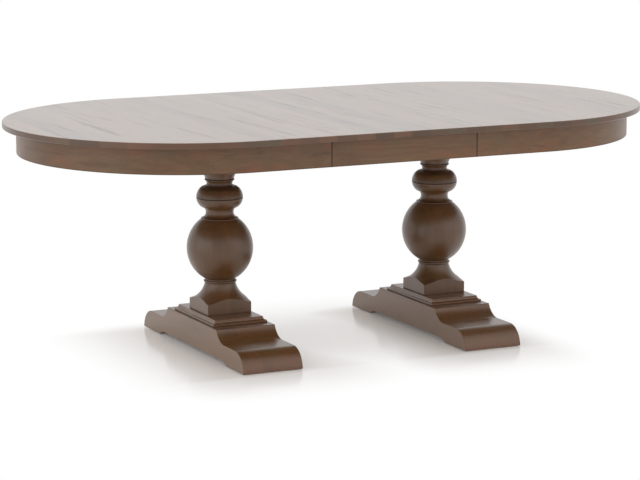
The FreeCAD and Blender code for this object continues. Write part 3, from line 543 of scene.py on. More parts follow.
def column_profile():
    """The outline of the turning, as radius and height, from its lower end to its upper one."""
    wide = BLOCK_HALF * math.sqrt(2) + BLANK_SPARE
    corner = BLOCK_HALF * math.sqrt(2) - BLOCK_EASE * (math.sqrt(2) - 1)
    below, above = column_low.z - BLANK_SPARE, column_high.z + BLANK_SPARE
    bead_low, bead_high = height(LOWER_BEAD[0]), height(LOWER_BEAD[1])
    ball_z, ball_half, ball_top = height(BALL_MIDDLE), BALL_HALF * turning_length, height(BALL_TOP)
    ball_start = ball_z - ball_half * other_leg(BALL_RADIUS, COVE_RADIUS)
    fillet_top = height(FILLET_TOP)
    bun_z, bun_half, bun_line = height(BUN_MIDDLE), BUN_HALF * turning_length, height(BUN_LINE)
    bun_rise = height(BUN_TOP) - bun_z
    bun_reach = BUN_RADIUS - BUN_CORE
    bun_start = bun_z - bun_half * other_leg(bun_reach, BUN_FOOT - BUN_CORE)
    neck_low, neck_high = height(UPPER_BEAD[0]), height(UPPER_BEAD[1])
    points = [Vector((0, below)), Vector((wide, below)), Vector((wide, turning_low))]
    flare_end = (FLARE_RADIUS, height(FLARE_TOP))
    points += arched((corner, turning_low), flare_end, FLARE_HOLLOW, FLARE_STEPS)
    points += arched(
        (LOWER_BEAD_RADIUS, bead_low), (LOWER_BEAD_RADIUS, bead_high), -LOWER_BEAD_BULGE
    )
    points += [Vector((COVE_RADIUS, bead_high))]
    points += bulged(0, ball_z, ball_half, BALL_RADIUS, ball_start, ball_top, BALL_STEPS)
    points += [Vector((FILLET_RADIUS, ball_top)), Vector((FILLET_RADIUS, fillet_top))]
    collar_end = (BUN_FOOT, bun_start)
    points += arched((COLLAR_RADIUS, fillet_top), collar_end, COLLAR_HOLLOW, COLLAR_STEPS)
    line_low, line_high = bun_line - LINE_HALF, bun_line + LINE_HALF
    points += bulged(BUN_CORE, bun_z, bun_half, bun_reach, bun_start, line_low, BUN_STEPS[0])[1:]
    points += [Vector((BUN_RADIUS - LINE_DEPTH, bun_line))]
    bun_end = bun_z + bun_rise
    points += bulged(BUN_CORE, bun_z, bun_rise, bun_reach, line_high, bun_end, BUN_STEPS[1])
    points += arched((BUN_CORE, height(BUN_TOP)), (NECK_RADIUS, neck_low), NECK_HOLLOW)[1:]
    points += arched((NECK_RADIUS, neck_low), (NECK_RADIUS, neck_high), -UPPER_BEAD_BULGE)[1:]
    flare_start = (UPPER_FLARE_RADIUS, neck_high)
    points += arched(flare_start, (corner, turning_high), FLARE_HOLLOW, FLARE_STEPS)
    return points + [Vector((wide, turning_high)), Vector((wide, above)), Vector((0, above))]


profile = column_profile()
ball = max(p.x for p in profile if height(FLARE_TOP) < p.y < height(BALL_TOP))
print("profile of", len(profile), "points, with a ball of", round(ball, 4), "m radius")

# %% [markdown]
# A chain of points is drawn as by hand too: a plane is merged to a single point, and that point
# is pushed from place to place. The same helper draws the outline of the foot later.

# %% Drawing a chain
DOT = 0.001


def chain(points):
    """A chain of edges through the given points. The object is left open in edit mode."""
    bpy.ops.mesh.primitive_plane_add(size=DOT, location=(0, 0, 0))
    piece = bpy.context.object
    opened(piece)
    bpy.ops.mesh.select_mode(type="VERT")
    bpy.ops.mesh.select_all(action="SELECT")
    bpy.ops.mesh.merge(type="CENTER")
    bpy.ops.transform.translate(value=points[0])
    for last, new in zip(points, points[1:]):
        pushed(*(new - last))
    return piece


def sharp_corners(degrees):
    """Select the points of an open chain at which it turns by more than an angle."""
    mesh = none_chosen("verts")
    found = 0
    for point in mesh.verts:
        if len(point.link_edges) == 2:
            a, b = [edge.other_vert(point).co - point.co for edge in point.link_edges]
            if math.degrees(math.pi - a.angle(b)) > degrees:
                point.select_set(True)
                found += 1
    chosen(mesh)
    return found


# %% [markdown]
# On the lathe a sharp corner never stays quite sharp, because the sanding takes a little off it.
# So the corners of the drawn line are rounded first, and then it is spun once round. The billet is
# drawn wide between its two square blocks, so that it spares the turning there and only its blocks
# cut anything off.

# %% Turning the column
CORNER_TURN = 24
CORNER_EASE = 0.0006
CORNER_STEPS = 2
TURN_STEPS = 144
BLOCK_STEPS = 4
BILLET_SPREAD = 2


def turning():
    """The profile spun round the column's axis."""
    piece = chain([Vector((p.x, 0, p.y)) for p in profile])
    bpy.ops.mesh.select_all(action="SELECT")
    bpy.ops.mesh.remove_doubles(threshold=WELD_REACH)
    corners = sharp_corners(CORNER_TURN)
    bpy.ops.mesh.bevel(offset=CORNER_EASE, segments=CORNER_STEPS, affect="VERTICES")
    bpy.ops.mesh.select_all(action="SELECT")
    bpy.ops.mesh.spin(steps=TURN_STEPS, angle=2 * math.pi, center=(0, 0, 0), axis=(0, 0, 1))
    closed()
    print("turned, with", corners, "corners rounded")
    return piece


def billet():
    """The square blank, drawn out wide between its two blocks so that it spares the turning."""
    flare_low, flare_high = height(FLARE_TOP), height(UPPER_BEAD[1])
    piece = block((-BLOCK_HALF, -BLOCK_HALF, column_low.z), (BLOCK_HALF, BLOCK_HALF, flare_low))
    opened(piece)
    choose_edges(lambda a, b: not same(a.z, b.z))
    eased(BLOCK_EASE, BLOCK_STEPS)
    choose("faces", lambda p: same(p.z, flare_low))
    pushed()
    bpy.ops.transform.resize(value=(BILLET_SPREAD, BILLET_SPREAD, 1))
    pushed(z=flare_high - flare_low)
    pushed()
    bpy.ops.transform.resize(value=(1 / BILLET_SPREAD, 1 / BILLET_SPREAD, 1))
    pushed(z=column_high.z - flare_high)
    closed()
    return piece


def column(side):
    """What the turning and the billet share, at its place on one side of the table."""
    piece = carved(turning(), billet(), "INTERSECT")
    opened(piece)
    bpy.ops.mesh.select_all(action="SELECT")
    bpy.ops.transform.translate(value=(side * COLUMN_X, 0, 0))
    closed()
    return piece


for name, side in (("left", -1), ("right", 1)):
    post = column(side)
    finished(post, "turned_column_" + name, name + "_half", "column_" + name)

# %% [markdown]
# ## The base caps
# Between the foot and the column lies a moulded slab: a square lip, a cove above it, and a small
# fillet at the top. Its moulding runs round all four sides and meets in mitres. Insetting the
# top face of a slab step by step, and lifting it at each step, draws just such a mitred moulding.

# %% Base caps
CAP_LIP = 0.007
CAP_LIP_STEP = 0.0012
CAP_TOP_INSET = 0.0105
CAP_BEAD = 0.0045
CAP_EASE = 0.0007
CAP_EASE_STEPS = 2
CAP_CORNER = 50
COVE_STEPS = 8


def cap_steps(rise):
    """Inward and upward steps from the top of the lip to the top of the slab."""
    cove_in = CAP_TOP_INSET - 2 * CAP_LIP_STEP
    cove_up = rise - CAP_LIP - CAP_BEAD
    turns = [math.pi / 2 * k / COVE_STEPS for k in range(COVE_STEPS + 1)]
    cove = [(cove_in * math.sin(t), cove_up * (1 - math.cos(t))) for t in turns]
    steps = [(CAP_LIP_STEP, 0)]
    steps += [(b[0] - a[0], b[1] - a[1]) for a, b in zip(cove, cove[1:])]
    return steps + [(CAP_LIP_STEP, 0), (0, CAP_BEAD)]


def base_cap(node):
    """A slab with its lip, and the moulding that is drawn up from the lip's top."""
    low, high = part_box(node)
    lip_z = low.z + CAP_LIP
    piece = block(low, (high.x, high.y, lip_z))
    opened(piece)
    choose("faces", lambda p: same(p.z, lip_z))
    for inward, upward in cap_steps(high.z - low.z):
        if inward:
            bpy.ops.mesh.inset(thickness=inward, depth=0)
            bpy.ops.transform.translate(value=(0, 0, upward))
        else:
            pushed(z=upward)
    closed()
    return with_modifier(
        piece,
        "BEVEL",
        width=CAP_EASE,
        segments=CAP_EASE_STEPS,
        limit_method="ANGLE",
        angle_limit=math.radians(CAP_CORNER),
    )


for name in ("left", "right"):
    cap = base_cap("base_cap_" + name)
    finished(cap, "moulded_cap_" + name, name + "_half", "base_cap_" + name)

# %% [markdown]
# ## The feet
# Each foot is a thick board that stands across the table. Its ends are sawn to an ogee, which is
# a hollow that runs out on a level ledge, followed by a round nose, and it is relieved
# below so that it stands on its two ends. The outline is drawn as one chain, filled, drawn out to
# the board's width, and its long edges are rounded over.

# %% Feet
FOOT_BASE = 0.002
NOSE_LENGTH = 0.0665
NOSE_RISE = 0.006
NOSE_MID = (0.0195, 0.0465)
LEDGE_HEIGHT = 0.0655
LEDGE_LENGTH = 0.083
HOLLOW_LENGTH = 0.060
FOOT_LIP = 0.002
RELIEF_HEIGHT = 0.012
PAD_LENGTH = 0.1395
RELIEF_RUN = 0.036
FOOT_EASE = 0.0016
FOOT_STEPS = 3
HOLLOW_STEPS = 18
NOSE_STEPS = 16
RELIEF_STEPS = 10
foot_low, foot_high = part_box("foot_right")


def level_curve(a, b, count):
    """Points of an arc that leaves a level line at a and ends at b."""
    run, rise = b[0] - a[0], b[1] - a[1]
    radius = (run ** 2 + rise ** 2) / 2 / rise
    whole = math.asin(max(-1, min(1, run / radius)))
    turns = [whole * k / count for k in range(count + 1)]
    return [(a[0] + radius * math.sin(t), a[1] + radius * (1 - math.cos(t))) for t in turns]


def through(a, b, c, count):
    """Points of the arc through three points."""
    ax, ay, bx, by, cx, cy = *a, *b, *c
    area = 2 * (ax * (by - cy) + bx * (cy - ay) + cx * (ay - by))
    sa, sb, sc = ax * ax + ay * ay, bx * bx + by * by, cx * cx + cy * cy
    middle_x = (sa * (by - cy) + sb * (cy - ay) + sc * (ay - by)) / area
    middle_y = (sa * (cx - bx) + sb * (ax - cx) + sc * (bx - ax)) / area
    radius = math.hypot(ax - middle_x, ay - middle_y)
    first, last = [math.atan2(y - middle_y, x - middle_x) for x, y in (a, c)]
    turns = [first + (last - first) * k / count for k in range(count + 1)]
    return [(middle_x + radius * math.cos(t), middle_y + radius * math.sin(t)) for t in turns]


def foot_outline():
    """The foot's side from the middle of its top, round the back end, to the middle below."""
    end, top = foot_high.y, foot_high.z
    ledge_outer = end - NOSE_LENGTH
    ledge_inner = ledge_outer - LEDGE_LENGTH
    crown = ledge_inner - HOLLOW_LENGTH
    heel = end - PAD_LENGTH
    relief = (heel - RELIEF_RUN, FOOT_BASE + RELIEF_HEIGHT)
    nose_mid = (end - NOSE_MID[0], NOSE_MID[1])
    nose_end = (end, FOOT_BASE + NOSE_RISE)
    hollow_end = (crown, top - FOOT_LIP)
    half = [(crown, top)]
    half += level_curve((ledge_inner, LEDGE_HEIGHT), hollow_end, HOLLOW_STEPS)[::-1]
    half += through((ledge_outer, LEDGE_HEIGHT), nose_mid, nose_end, NOSE_STEPS)
    half += [(end, FOOT_BASE)]
    half += level_curve(relief, (heel, FOOT_BASE), RELIEF_STEPS)[::-1]
    return half + [(-y, z) for y, z in reversed(half)]


def foot(node):
    """The outline filled, drawn out to the board's width, with its long edges rounded over."""
    low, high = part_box(node)
    piece = chain([Vector((low.x, y, z)) for y, z in foot_outline()])
    bpy.ops.mesh.select_all(action="SELECT")
    bpy.ops.mesh.remove_doubles(threshold=WELD_REACH)
    bpy.ops.mesh.select_all(action="SELECT")
    bpy.ops.mesh.edge_face_add()
    pushed(x=high.x - low.x)
    closed()
    opened(piece)
    for x in (low.x, high.x):
        choose("edges", lambda p: same(p.x, x))
        eased(FOOT_EASE, FOOT_STEPS)
    closed()
    return piece


for name in ("left", "right"):
    board = foot("foot_" + name)
    finished(board, "ogee_foot_" + name, name + "_half", "foot_" + name)

# %% [markdown]
# ## Writing shaders as sums
# A finish is a recipe of many small steps, and a recipe reads best as arithmetic. One class
# wraps a socket of the shader, so that adding or multiplying two of them adds the Math nodes.
# Every other node comes from one method, which takes the node's type, its settings, and the
# values or links of its sockets.

# %% Shader arithmetic
class Wire:
    """One output of a shader's node, which can be added, subtracted, multiplied and divided."""

    def __init__(self, shader, socket):
        self.shader, self.socket = shader, socket

    def __add__(self, other):
        return self.shader.math("ADD", self, other)

    def __sub__(self, other):
        return self.shader.math("SUBTRACT", self, other)

    def __rsub__(self, other):
        return self.shader.math("SUBTRACT", other, self)

    def __mul__(self, other):
        return self.shader.math("MULTIPLY", self, other)

    def __truediv__(self, other):
        return self.shader.math("DIVIDE", self, other)

    def __rtruediv__(self, other):
        return self.shader.math("DIVIDE", other, self)

    __radd__ = __add__
    __rmul__ = __mul__


class Shader:
    """A node tree that is built by expressions."""

    def __init__(self, tree):
        self.tree = tree
        tree.nodes.clear()

    def node(self, kind, settings=None, sockets=None):
        made = self.tree.nodes.new("ShaderNode" + kind)
        for name, value in (settings or {}).items():
            setattr(made, name, value)
        for name, value in (sockets or {}).items():
            if isinstance(value, Wire):
                self.tree.links.new(value.socket, made.inputs[name])
            else:
                made.inputs[name].default_value = value
        return made

    def read(self, made, output=0):
        return Wire(self, made.outputs[output])

    def math(self, operation, a, b=0.0):
        return self.read(self.node("Math", {"operation": operation}, {0: a, 1: b}))

    def spread(self, value, low, high, to_low=0.0, to_high=1.0):
        """A value's place between two limits, eased at both ends."""
        settings = {"interpolation_type": "SMOOTHSTEP"}
        sockets = {0: value, 1: low, 2: high, 3: to_low, 4: to_high}
        return self.read(self.node("MapRange", settings, sockets))

    def mix(self, a, b, share):
        """A mix of two colours."""
        settings = {"data_type": "RGBA", "clamp_factor": True}
        return self.read(self.node("Mix", settings, {0: share, 6: a, 7: b}), 2)

    def point(self, x, y, z):
        return self.read(self.node("CombineXYZ", None, {0: x, 1: y, 2: z}))

    def noise(self, place, scale, detail, roughness, bend=0.0):
        sockets = {"Vector": place, "Scale": scale, "Detail": detail, "Roughness": roughness}
        sockets["Distortion"] = bend
        return self.read(self.node("TexNoise", {"noise_dimensions": "3D"}, sockets))

    def chance(self, number):
        """A random number for each whole number."""
        return self.read(self.node("TexWhiteNoise", {"noise_dimensions": "1D"}, {"W": number}))

    def place(self):
        """The three coordinates of the surface, in metres on the table."""
        coordinates = self.node("TexCoord")
        apart = self.node("SeparateXYZ", None, {0: self.read(coordinates, "Object")})
        return [self.read(apart, k) for k in range(3)]

    def facing(self):
        """The three parts of the surface's normal."""
        normal = self.read(self.node("NewGeometry"), "Normal")
        apart = self.node("SeparateXYZ", None, {0: normal})
        return [self.read(apart, k) for k in range(3)]

    def seen(self):
        """1 where the camera or a gloss looks, and 0 where light only bounces."""
        rays = self.node("LightPath")
        camera_ray, glossy_ray = [self.read(rays, f"Is {kind} Ray") for kind in ("Camera", "Glossy")]
        return self.math("MAXIMUM", camera_ray, glossy_ray)

    def principled(self, sockets):
        """Close the tree with one surface that has these sockets."""
        surface = self.node("BsdfPrincipled", None, sockets)
        self.node("OutputMaterial", None, {"Surface": self.read(surface)})


def colour(red, green, blue):
    """A colour as it looks on screen, from 0 to 255, in the light values that shaders use.

    The numbers below are those of the standard curve between the two.
    """
    parts = [value / 255 for value in (red, green, blue)]
    return [p / 12.92 if p <= 0.04045 else ((p + 0.055) / 1.055) ** 2.4 for p in parts] + [1.0]


def material(name):
    """A new material and the shader that builds it."""
    made = bpy.data.materials.new(name)
    made.use_nodes = True
    return made, Shader(made.node_tree)


# %% [markdown]
# ## Stained and lacquered wood
# The wood is a stained hardwood under a satin lacquer. Its look has several layers: contour-like
# figure that runs along the board, fine fibre streaks, short pores, a cloudy take-up
# of the stain between red and olive brown, and a tone of its own for each glued-up board. Each
# layer is a noise that is stretched along the grain, so all that a piece has to say is which
# way its grain runs and which board a place belongs to.

# %% Wood
FIGURE = {"scale": (1.1, 13.0), "detail": 2.0, "roughness": 0.45, "bend": 0.4}
STREAKS = {"scale": (5.0, 150.0), "detail": 3.0, "roughness": 0.55}
FIBRES = {"scale": (22.0, 620.0), "detail": 2.0, "roughness": 0.6}
PORES = {"scale": (75.0, 1500.0), "detail": 1.0, "roughness": 0.5}
CLOUD = {"scale": (4.0, 9.0), "detail": 3.0, "roughness": 0.55, "bend": 0.3}
PATCHES = {"scale": (9.0, 16.0), "detail": 3.0, "roughness": 0.6, "start": 4.7}
VEINS = {"scale": (2.4, 42.0), "detail": 3.0, "roughness": 0.6, "bend": 0.5}
FIGURE_LINES = 52.0
SECOND_DRAW = 57.3
LUCK_SHIFT = 5.1
SECOND_SHIFT = 2.3
STREAK_SHARE = 0.75
FIBRE_SHARE = 0.35
PORE_TONE = 0.45
VEIN_TONE = 0.8
STREAK_DULL = 0.08
PORE_DULL = 0.10
VEIN_DULL = 0.35
GRAIN_RELIEF = 0.3
PORE_RELIEF = 0.4


def stretched(shader, place, scale, detail, roughness, bend=0.0, start=None):
    """Noise drawn out along the grain. scale says how fine it is along the grain and across."""
    along, across, depth = place
    run = along * scale[0]
    if start is not None:
        run = run + start
    point = shader.point(run, across * scale[1], depth * scale[1])
    return shader.noise(point, 1.0, detail, roughness, bend)


def wood(
    name, layout, tones, boards=0.5, roughness=0.36, coat=0.5, figure=0.5, veining=0.2,
    rim=None, glaze_and_shade=None, gloss=0.28,
):
    """A stained wood under lacquer.

    layout gives the place along the grain, two places across it, and the board's number.
    boards, figure and veining say how strong each layer is. rim and glaze_and_shade may change the
    result by place; glaze_and_shade paints stain lines, painted shade and painted light. coat and
    gloss are the lacquer's strength and roughness.
    """
    made, shader = material(name)
    deep, middle, light, red, olive = [colour(*tone) for tone in tones]
    along, across, depth, board = layout(shader)
    luck = shader.chance(board)
    second = shader.chance(board + SECOND_DRAW)
    place = (along + luck * LUCK_SHIFT, across, depth + second * SECOND_SHIFT)
    wavy = stretched(shader, place, **FIGURE)
    rings = shader.math("SINE", wavy * FIGURE_LINES) * 0.5 + 0.5
    streaks = stretched(shader, place, **STREAKS)
    fibres = stretched(shader, place, **FIBRES)
    cloud = stretched(shader, place, **CLOUD)
    patch = stretched(shader, place, **PATCHES)
    pores = shader.spread(stretched(shader, place, **PORES), 0.60, 0.72)
    veins = shader.spread(stretched(shader, place, **VEINS), 0.55, 0.72, 0.0, veining)

    grain = rings * (0.5 * figure) + streaks * STREAK_SHARE + fibres * FIBRE_SHARE
    low, high = 0.35 + 0.15 * figure, 0.95 + 0.35 * figure
    base = shader.mix(middle, light, shader.spread(grain, low, high, 0.5 - figure, 0.5 + figure))
    uneven = 0.4 + 0.6 * veining
    # Each layer: its tone, where it lies, the value where it starts, where it is full, how full.
    for tone, layer, start, full, most in (
        (deep, cloud, 0.50, 0.78, 0.55),
        (red, patch, 0.50, 0.72, uneven),
        (olive, patch, 0.48, 0.28, uneven),
        (red, second, 0.6, 1.0, 0.7 * boards),
        (deep, luck, 0.45, 0.0, 0.8 * boards),
        (light, luck, 0.6, 1.0, 0.6 * boards),
    ):
        base = shader.mix(base, tone, shader.spread(layer, start, full, 0.0, most))
    base = shader.mix(base, deep, pores * PORE_TONE)
    base = shader.mix(base, deep, veins * VEIN_TONE)

    dull = streaks * STREAK_DULL + pores * PORE_DULL + (roughness - STREAK_DULL / 2)
    lacquer = (1.0 - veins * VEIN_DULL) * coat
    if rim is not None:
        base, lacquer = rim(shader, base, lacquer, luck, second)
    if glaze_and_shade is not None:
        base, dull, lacquer = glaze_and_shade(shader, base, dull, lacquer)
    relief = fibres * GRAIN_RELIEF + streaks * GRAIN_RELIEF - pores * PORE_RELIEF
    bump = shader.node("Bump", None, {"Strength": 0.25, "Distance": 0.0004, "Height": relief})
    shader.principled({
        "Base Color": base,
        "Roughness": dull,
        "Normal": shader.read(bump),
        "Coat Weight": lacquer,
        "Coat Roughness": gloss,
        "IOR": 1.5,
        "Specular IOR Level": 0.4,
    })
    return made


# %% [markdown]
# A board doesn't look the same in every direction, so each kind of piece needs its own answer to
# two questions: which way does the grain run here, and which board is this? The boards of the top
# run across the table and are counted along it. The apron's grain follows the bend. The column
# is glued up from upright staves and the foot from two thick boards. The numbers that are added
# for the left and the right side only keep two pieces from showing the same figure.

# %% Grain layouts
BOARD_WIDTH = 0.0635
STAVE_WIDTH = 0.043
FOOT_BOARD = 0.0685
BOARDS_BEFORE = 20.0
MIDDLE_BOARD = 10.5


def top_layout(shader):
    """Boards across the table: the grain runs along Y, and the boards are counted along X."""
    x, y, z = shader.place()
    board = shader.math("FLOOR", x / BOARD_WIDTH + BOARDS_BEFORE)
    return y, x, z, board


def apron_layout(shader):
    """Grain that follows the bent strip from one seam round the end to the other."""
    x, y, z = shader.place()
    radius = -apron_low.y
    centre_x = apron_high.x - radius
    out = shader.math("ABSOLUTE", x)
    side = shader.math("SIGN", x)
    beyond = shader.math("MAXIMUM", out - centre_x, 0.0)
    turn = shader.math("ARCTAN2", beyond, y * -1.0)
    run = shader.math("MINIMUM", out, centre_x) + turn * radius
    return run + side * 3.7, z, out * 0.2, side * 3.0


def straight_layout(shader):
    """Grain that runs along the leaf's aprons, with another figure in front than behind."""
    x, y, z = shader.place()
    return x, z, y, shader.math("SIGN", y) * 5.0


def column_layout(shader):
    """Grain that runs up the column, in staves that were glued side by side."""
    x, y, z = shader.place()
    side = shader.math("SIGN", x)
    local = x - side * COLUMN_X
    stave = shader.math("FLOOR", local / STAVE_WIDTH + MIDDLE_BOARD) + side * 31.0
    return z, local, y, stave


def foot_layout(shader):
    """Grain that runs along the foot, in two thick boards."""
    x, y, z = shader.place()
    side = shader.math("SIGN", x)
    layer = shader.math("FLOOR", (x - side * COLUMN_X) / FOOT_BOARD + MIDDLE_BOARD)
    return y, x, z, layer + side * 17.0


print("boards", BOARD_WIDTH, "m wide in the top, and staves", STAVE_WIDTH, "m wide in the column")

# %% [markdown]
# Stain doesn't take evenly. Where a board's end shows at the rim it soaks in and goes darker.
# The dark lines and bands on the column, in and above the bun's cut, beside the beads, at the top
# of the bun, above the fillet and at the column's foot, are painted shade that stands for the
# shade in those creases, with some stain gathered in the cut. The line where the cap sits on the
# foot is painted shade too, and the sides and tops of the cap and foot are painted paler, as
# painted light. Those dark lines are what makes turned work look finished. They could be painted
# on a map, but it is simpler to let them follow the same heights that the profile was drawn from.

# %% Glazes and painted shade
END_DEEP, END_RED, END_OLIVE = colour(74, 51, 34), colour(112, 73, 49), colour(86, 72, 52)
RIM_TONE = colour(80, 56, 38)
# Tone of the dark lines: at the leaf's seams and the apron's lower edge, and painted shade in the
# column's creases and where the cap meets the foot.
STAIN_AND_SHADE_TONE = colour(34, 17, 8)
# Painted light: the cap's and foot's sides and tops are made paler with this tone.
PAINTED_LIGHT_TONE = colour(136, 104, 74)
FOOT_END_TONE = colour(122, 72, 44)
apron_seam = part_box("leaf_apron_front")[1].x
print("the leaf's seams are at", round(apron_seam, 4), "m on either side of the middle")


def board_ends(shader, base, lacquer, luck, second):
    """At the rim the wood is as dark as the apron, and the ends of the boards differ there."""
    x, y, z = shader.facing()
    rim = shader.spread(shader.math("ABSOLUTE", z), 0.9, 0.6)
    ends = shader.spread(shader.math("ABSOLUTE", y), 0.15, 0.5)
    tone = shader.mix(END_DEEP, END_RED, luck)
    tone = shader.mix(tone, END_OLIVE, shader.spread(second, 0.5, 0.9))
    tone = shader.mix(RIM_TONE, tone, ends * 0.65)
    return shader.mix(base, tone, rim), (1.0 - rim * 0.6) * lacquer


def dark_lines(shader, base, dull, lacquer, level, lines):
    """Dark, dull lines of gathered stain at joints and of painted shade in creases.

    level is measured against each line's middle, and a line has its middle, half its width
    and its strength. Faces that look up or down have none.
    """
    line_darkness = 0.0
    for middle, half, strength in lines:
        off = shader.math("ABSOLUTE", level - middle)
        line = shader.spread(off, half, half * 0.4, 0.0, strength)
        line_darkness = shader.math("MAXIMUM", line, line_darkness)
    line_darkness = line_darkness * shader.spread(shader.math("ABSOLUTE", shader.facing()[2]), 0.98, 0.9)
    base = shader.mix(base, STAIN_AND_SHADE_TONE, line_darkness)
    return base, dull + line_darkness * 0.3, (1.0 - line_darkness) * lacquer


def column_glaze_and_shade(shader, base, dull, lacquer):
    """Painted shade in the column's creases: round the bun, the beads, the fillet and the column's
    foot, with some stain in the bun's cut.
    """
    # Each line is painted shade for a crease of the turning; the one in the bun's cut also holds
    # stain.
    lines = [
        (height(BUN_LINE), 0.0026, 0.75),
        (height(BUN_LINE) + 0.006, 0.008, 0.25),
        (height(UPPER_BEAD[1]) + 0.0006, 0.0030, 0.7),
        (height(BUN_TOP) - 0.002, 0.014, 0.45),
        (height(LOWER_BEAD[0]) - 0.0008, 0.0024, 0.5),
        (height(LOWER_BEAD[1]) + 0.0008, 0.0026, 0.5),
        (height(FILLET_TOP) + 0.003, 0.006, 0.35),
        (column_low.z, 0.0030, 0.6),
    ]
    return dark_lines(shader, base, dull, lacquer, shader.place()[2], lines)


def slab_stain_and_painted_light(shader, base, dull, lacquer):
    """Cap and foot: sides and tops painted paler as painted light, ends a paler, redder stain, and a
    dark line of painted shade where the two meet.
    """
    across, lengthways, upward = shader.facing()
    # Painted light on the sides and tops, a redder stain on the ends, and painted shade in the line
    # where the cap sits on the foot.
    sides = shader.spread(shader.math("ABSOLUTE", across), 0.6, 0.9)
    base = shader.mix(base, PAINTED_LIGHT_TONE, sides * 0.30)
    ends = shader.spread(shader.math("ABSOLUTE", lengthways), 0.6, 0.95)
    base = shader.mix(base, FOOT_END_TONE, ends * 0.25)
    tops = shader.spread(upward, 0.9, 0.99)
    base = shader.mix(base, PAINTED_LIGHT_TONE, tops * 0.12)
    return dark_lines(shader, base, dull, lacquer, shader.place()[2], [(foot_high.z, 0.0022, 0.7)])


def seam_glaze(shader, base, dull, lacquer):
    """Aprons: a line at each seam of the leaf, and one along the lower edge."""
    x, y, z = shader.place()
    across = shader.math("ABSOLUTE", x)
    seam_line, lower_line = (apron_seam, 0.0026, 0.9), (apron_low.z, 0.0040, 0.4)
    base, dull, lacquer = dark_lines(shader, base, dull, lacquer, across, [seam_line])
    return dark_lines(shader, base, dull, lacquer, z, [lower_line])


# %% [markdown]
# The pieces share one recipe, and differ in tones and in how much of each layer they take. The
# top has the palest tones, the strongest veins and the glossiest lacquer. The aprons are a little
# darker and nearly dull, and the pedestals are the darkest and the most even. Each row of tones
# runs from deep to middle and light, and ends with the red and the olive that the stain drifts to.

# %% The stained pieces
PEDESTAL_TONES = ((48, 27, 9), (80, 51, 23), (107, 74, 42), (102, 57, 26), (85, 66, 35))
APRON_TONES = ((66, 42, 24), (98, 69, 44), (123, 92, 63), (125, 78, 49), (101, 82, 53))
TOP_TONES = ((70, 48, 32), (108, 80, 58), (136, 108, 84), (128, 86, 62), (110, 92, 68))


def apron_wood(name, layout):
    """The finish that the bent and the straight aprons share, each with its own layout."""
    return wood(
        name, layout, APRON_TONES,
        boards=0.2, roughness=0.38, coat=0.14, figure=0.34, veining=0.5, glaze_and_shade=seam_glaze,
    )


WOODS = {
    "boards": wood(
        "stained_boards", top_layout, TOP_TONES,
        boards=0.55, roughness=0.31, coat=0.88, figure=0.32, veining=0.9, rim=board_ends,
    ),
    "bent": apron_wood("stained_bent_apron", apron_layout),
    "straight": apron_wood("stained_leaf_apron", straight_layout),
    "column": wood(
        "stained_turning", column_layout, PEDESTAL_TONES,
        boards=0.12, coat=0.54, figure=0.25, veining=0.1, glaze_and_shade=column_glaze_and_shade, gloss=0.38,
    ),
    "foot": wood(
        "stained_foot", foot_layout, PEDESTAL_TONES,
        boards=0.10, coat=0.54, figure=0.25, glaze_and_shade=slab_stain_and_painted_light,
    ),
}
FINISH_OF = {
    "boards": "boards",
    "bent": "bent",
    "straight": "straight",
    "turned": "column",
    "moulded": "foot",
    "ogee": "foot",
}
for piece in MADE:
    piece.data.materials.clear()
    piece.data.materials.append(WOODS[FINISH_OF[piece.name.split("_")[0]]])
print(len(WOODS), "stained woods on", len(MADE), "pieces")

# %% [markdown]
# ## Unstained wood, metal and nylon
# Under the top nothing is stained. Runners, battens and plates are pale hardwood with a thin
# sealer, screws and locks are zinc-plated steel, the pins are brass, and gears and glides are
# nylon. These pieces keep the shapes of the construction, and only their finish changes.

# %% Hidden finishes
def along_x(shader):
    """Grain that runs along the table, as in runners and battens."""
    x, y, z = shader.place()
    return x, y, z, shader.math("SIGN", x) + shader.math("SIGN", y) * 3.0


def along_y(shader):
    """Grain that runs across the table, as in plates and risers."""
    x, y, z = shader.place()
    return y, x, z, shader.math("SIGN", x) * 7.0


def along_z(shader):
    """Grain that stands upright, as in the pegs."""
    x, y, z = shader.place()
    return z, x, y, shader.math("SIGN", x) + shader.math("SIGN", y) * 3.0


def metal(name, tint, dark, roughness):
    """Plated or drawn metal, slightly clouded and rubbed."""
    made, shader = material(name)
    x, y, z = shader.place()
    cloud = shader.noise(shader.point(x, y, z), 90.0, 3.0, 0.6)
    rubbed = shader.noise(shader.point(x * 900.0, y * 900.0, z * 120.0), 1.0, 2.0, 0.5)
    base = shader.mix(colour(*tint), colour(*dark), shader.spread(cloud, 0.45, 0.75, 0.0, 0.6))
    bump = shader.node("Bump", None, {"Strength": 0.15, "Distance": 0.0002, "Height": rubbed})
    shader.principled({
        "Base Color": base,
        "Metallic": 1.0,
        "Roughness": rubbed * 0.15 + cloud * 0.15 + (roughness - 0.12),
        "Normal": shader.read(bump),
    })
    return made


def nylon(name, tint, shadow):
    """Moulded nylon with a fine matt grain."""
    made, shader = material(name)
    x, y, z = shader.place()
    grain = shader.noise(shader.point(x, y, z), 1400.0, 2.0, 0.6)
    cloud = shader.noise(shader.point(x, y, z), 60.0, 2.0, 0.5)
    base = shader.mix(colour(*tint), colour(*shadow), shader.spread(cloud, 0.4, 0.7, 0.0, 0.7))
    bump = shader.node("Bump", None, {"Strength": 0.2, "Distance": 0.0002, "Height": grain})
    shader.principled({
        "Base Color": base,
        "Roughness": grain * 0.1 + 0.42,
        "Normal": shader.read(bump),
    })
    return made


# %% [markdown]
# Each solid of the construction says through its slot what it is made of, and the slot picks the
# finish. Plain wood has one slot for both directions, so the few pieces whose grain runs across
# the table are told by their names.

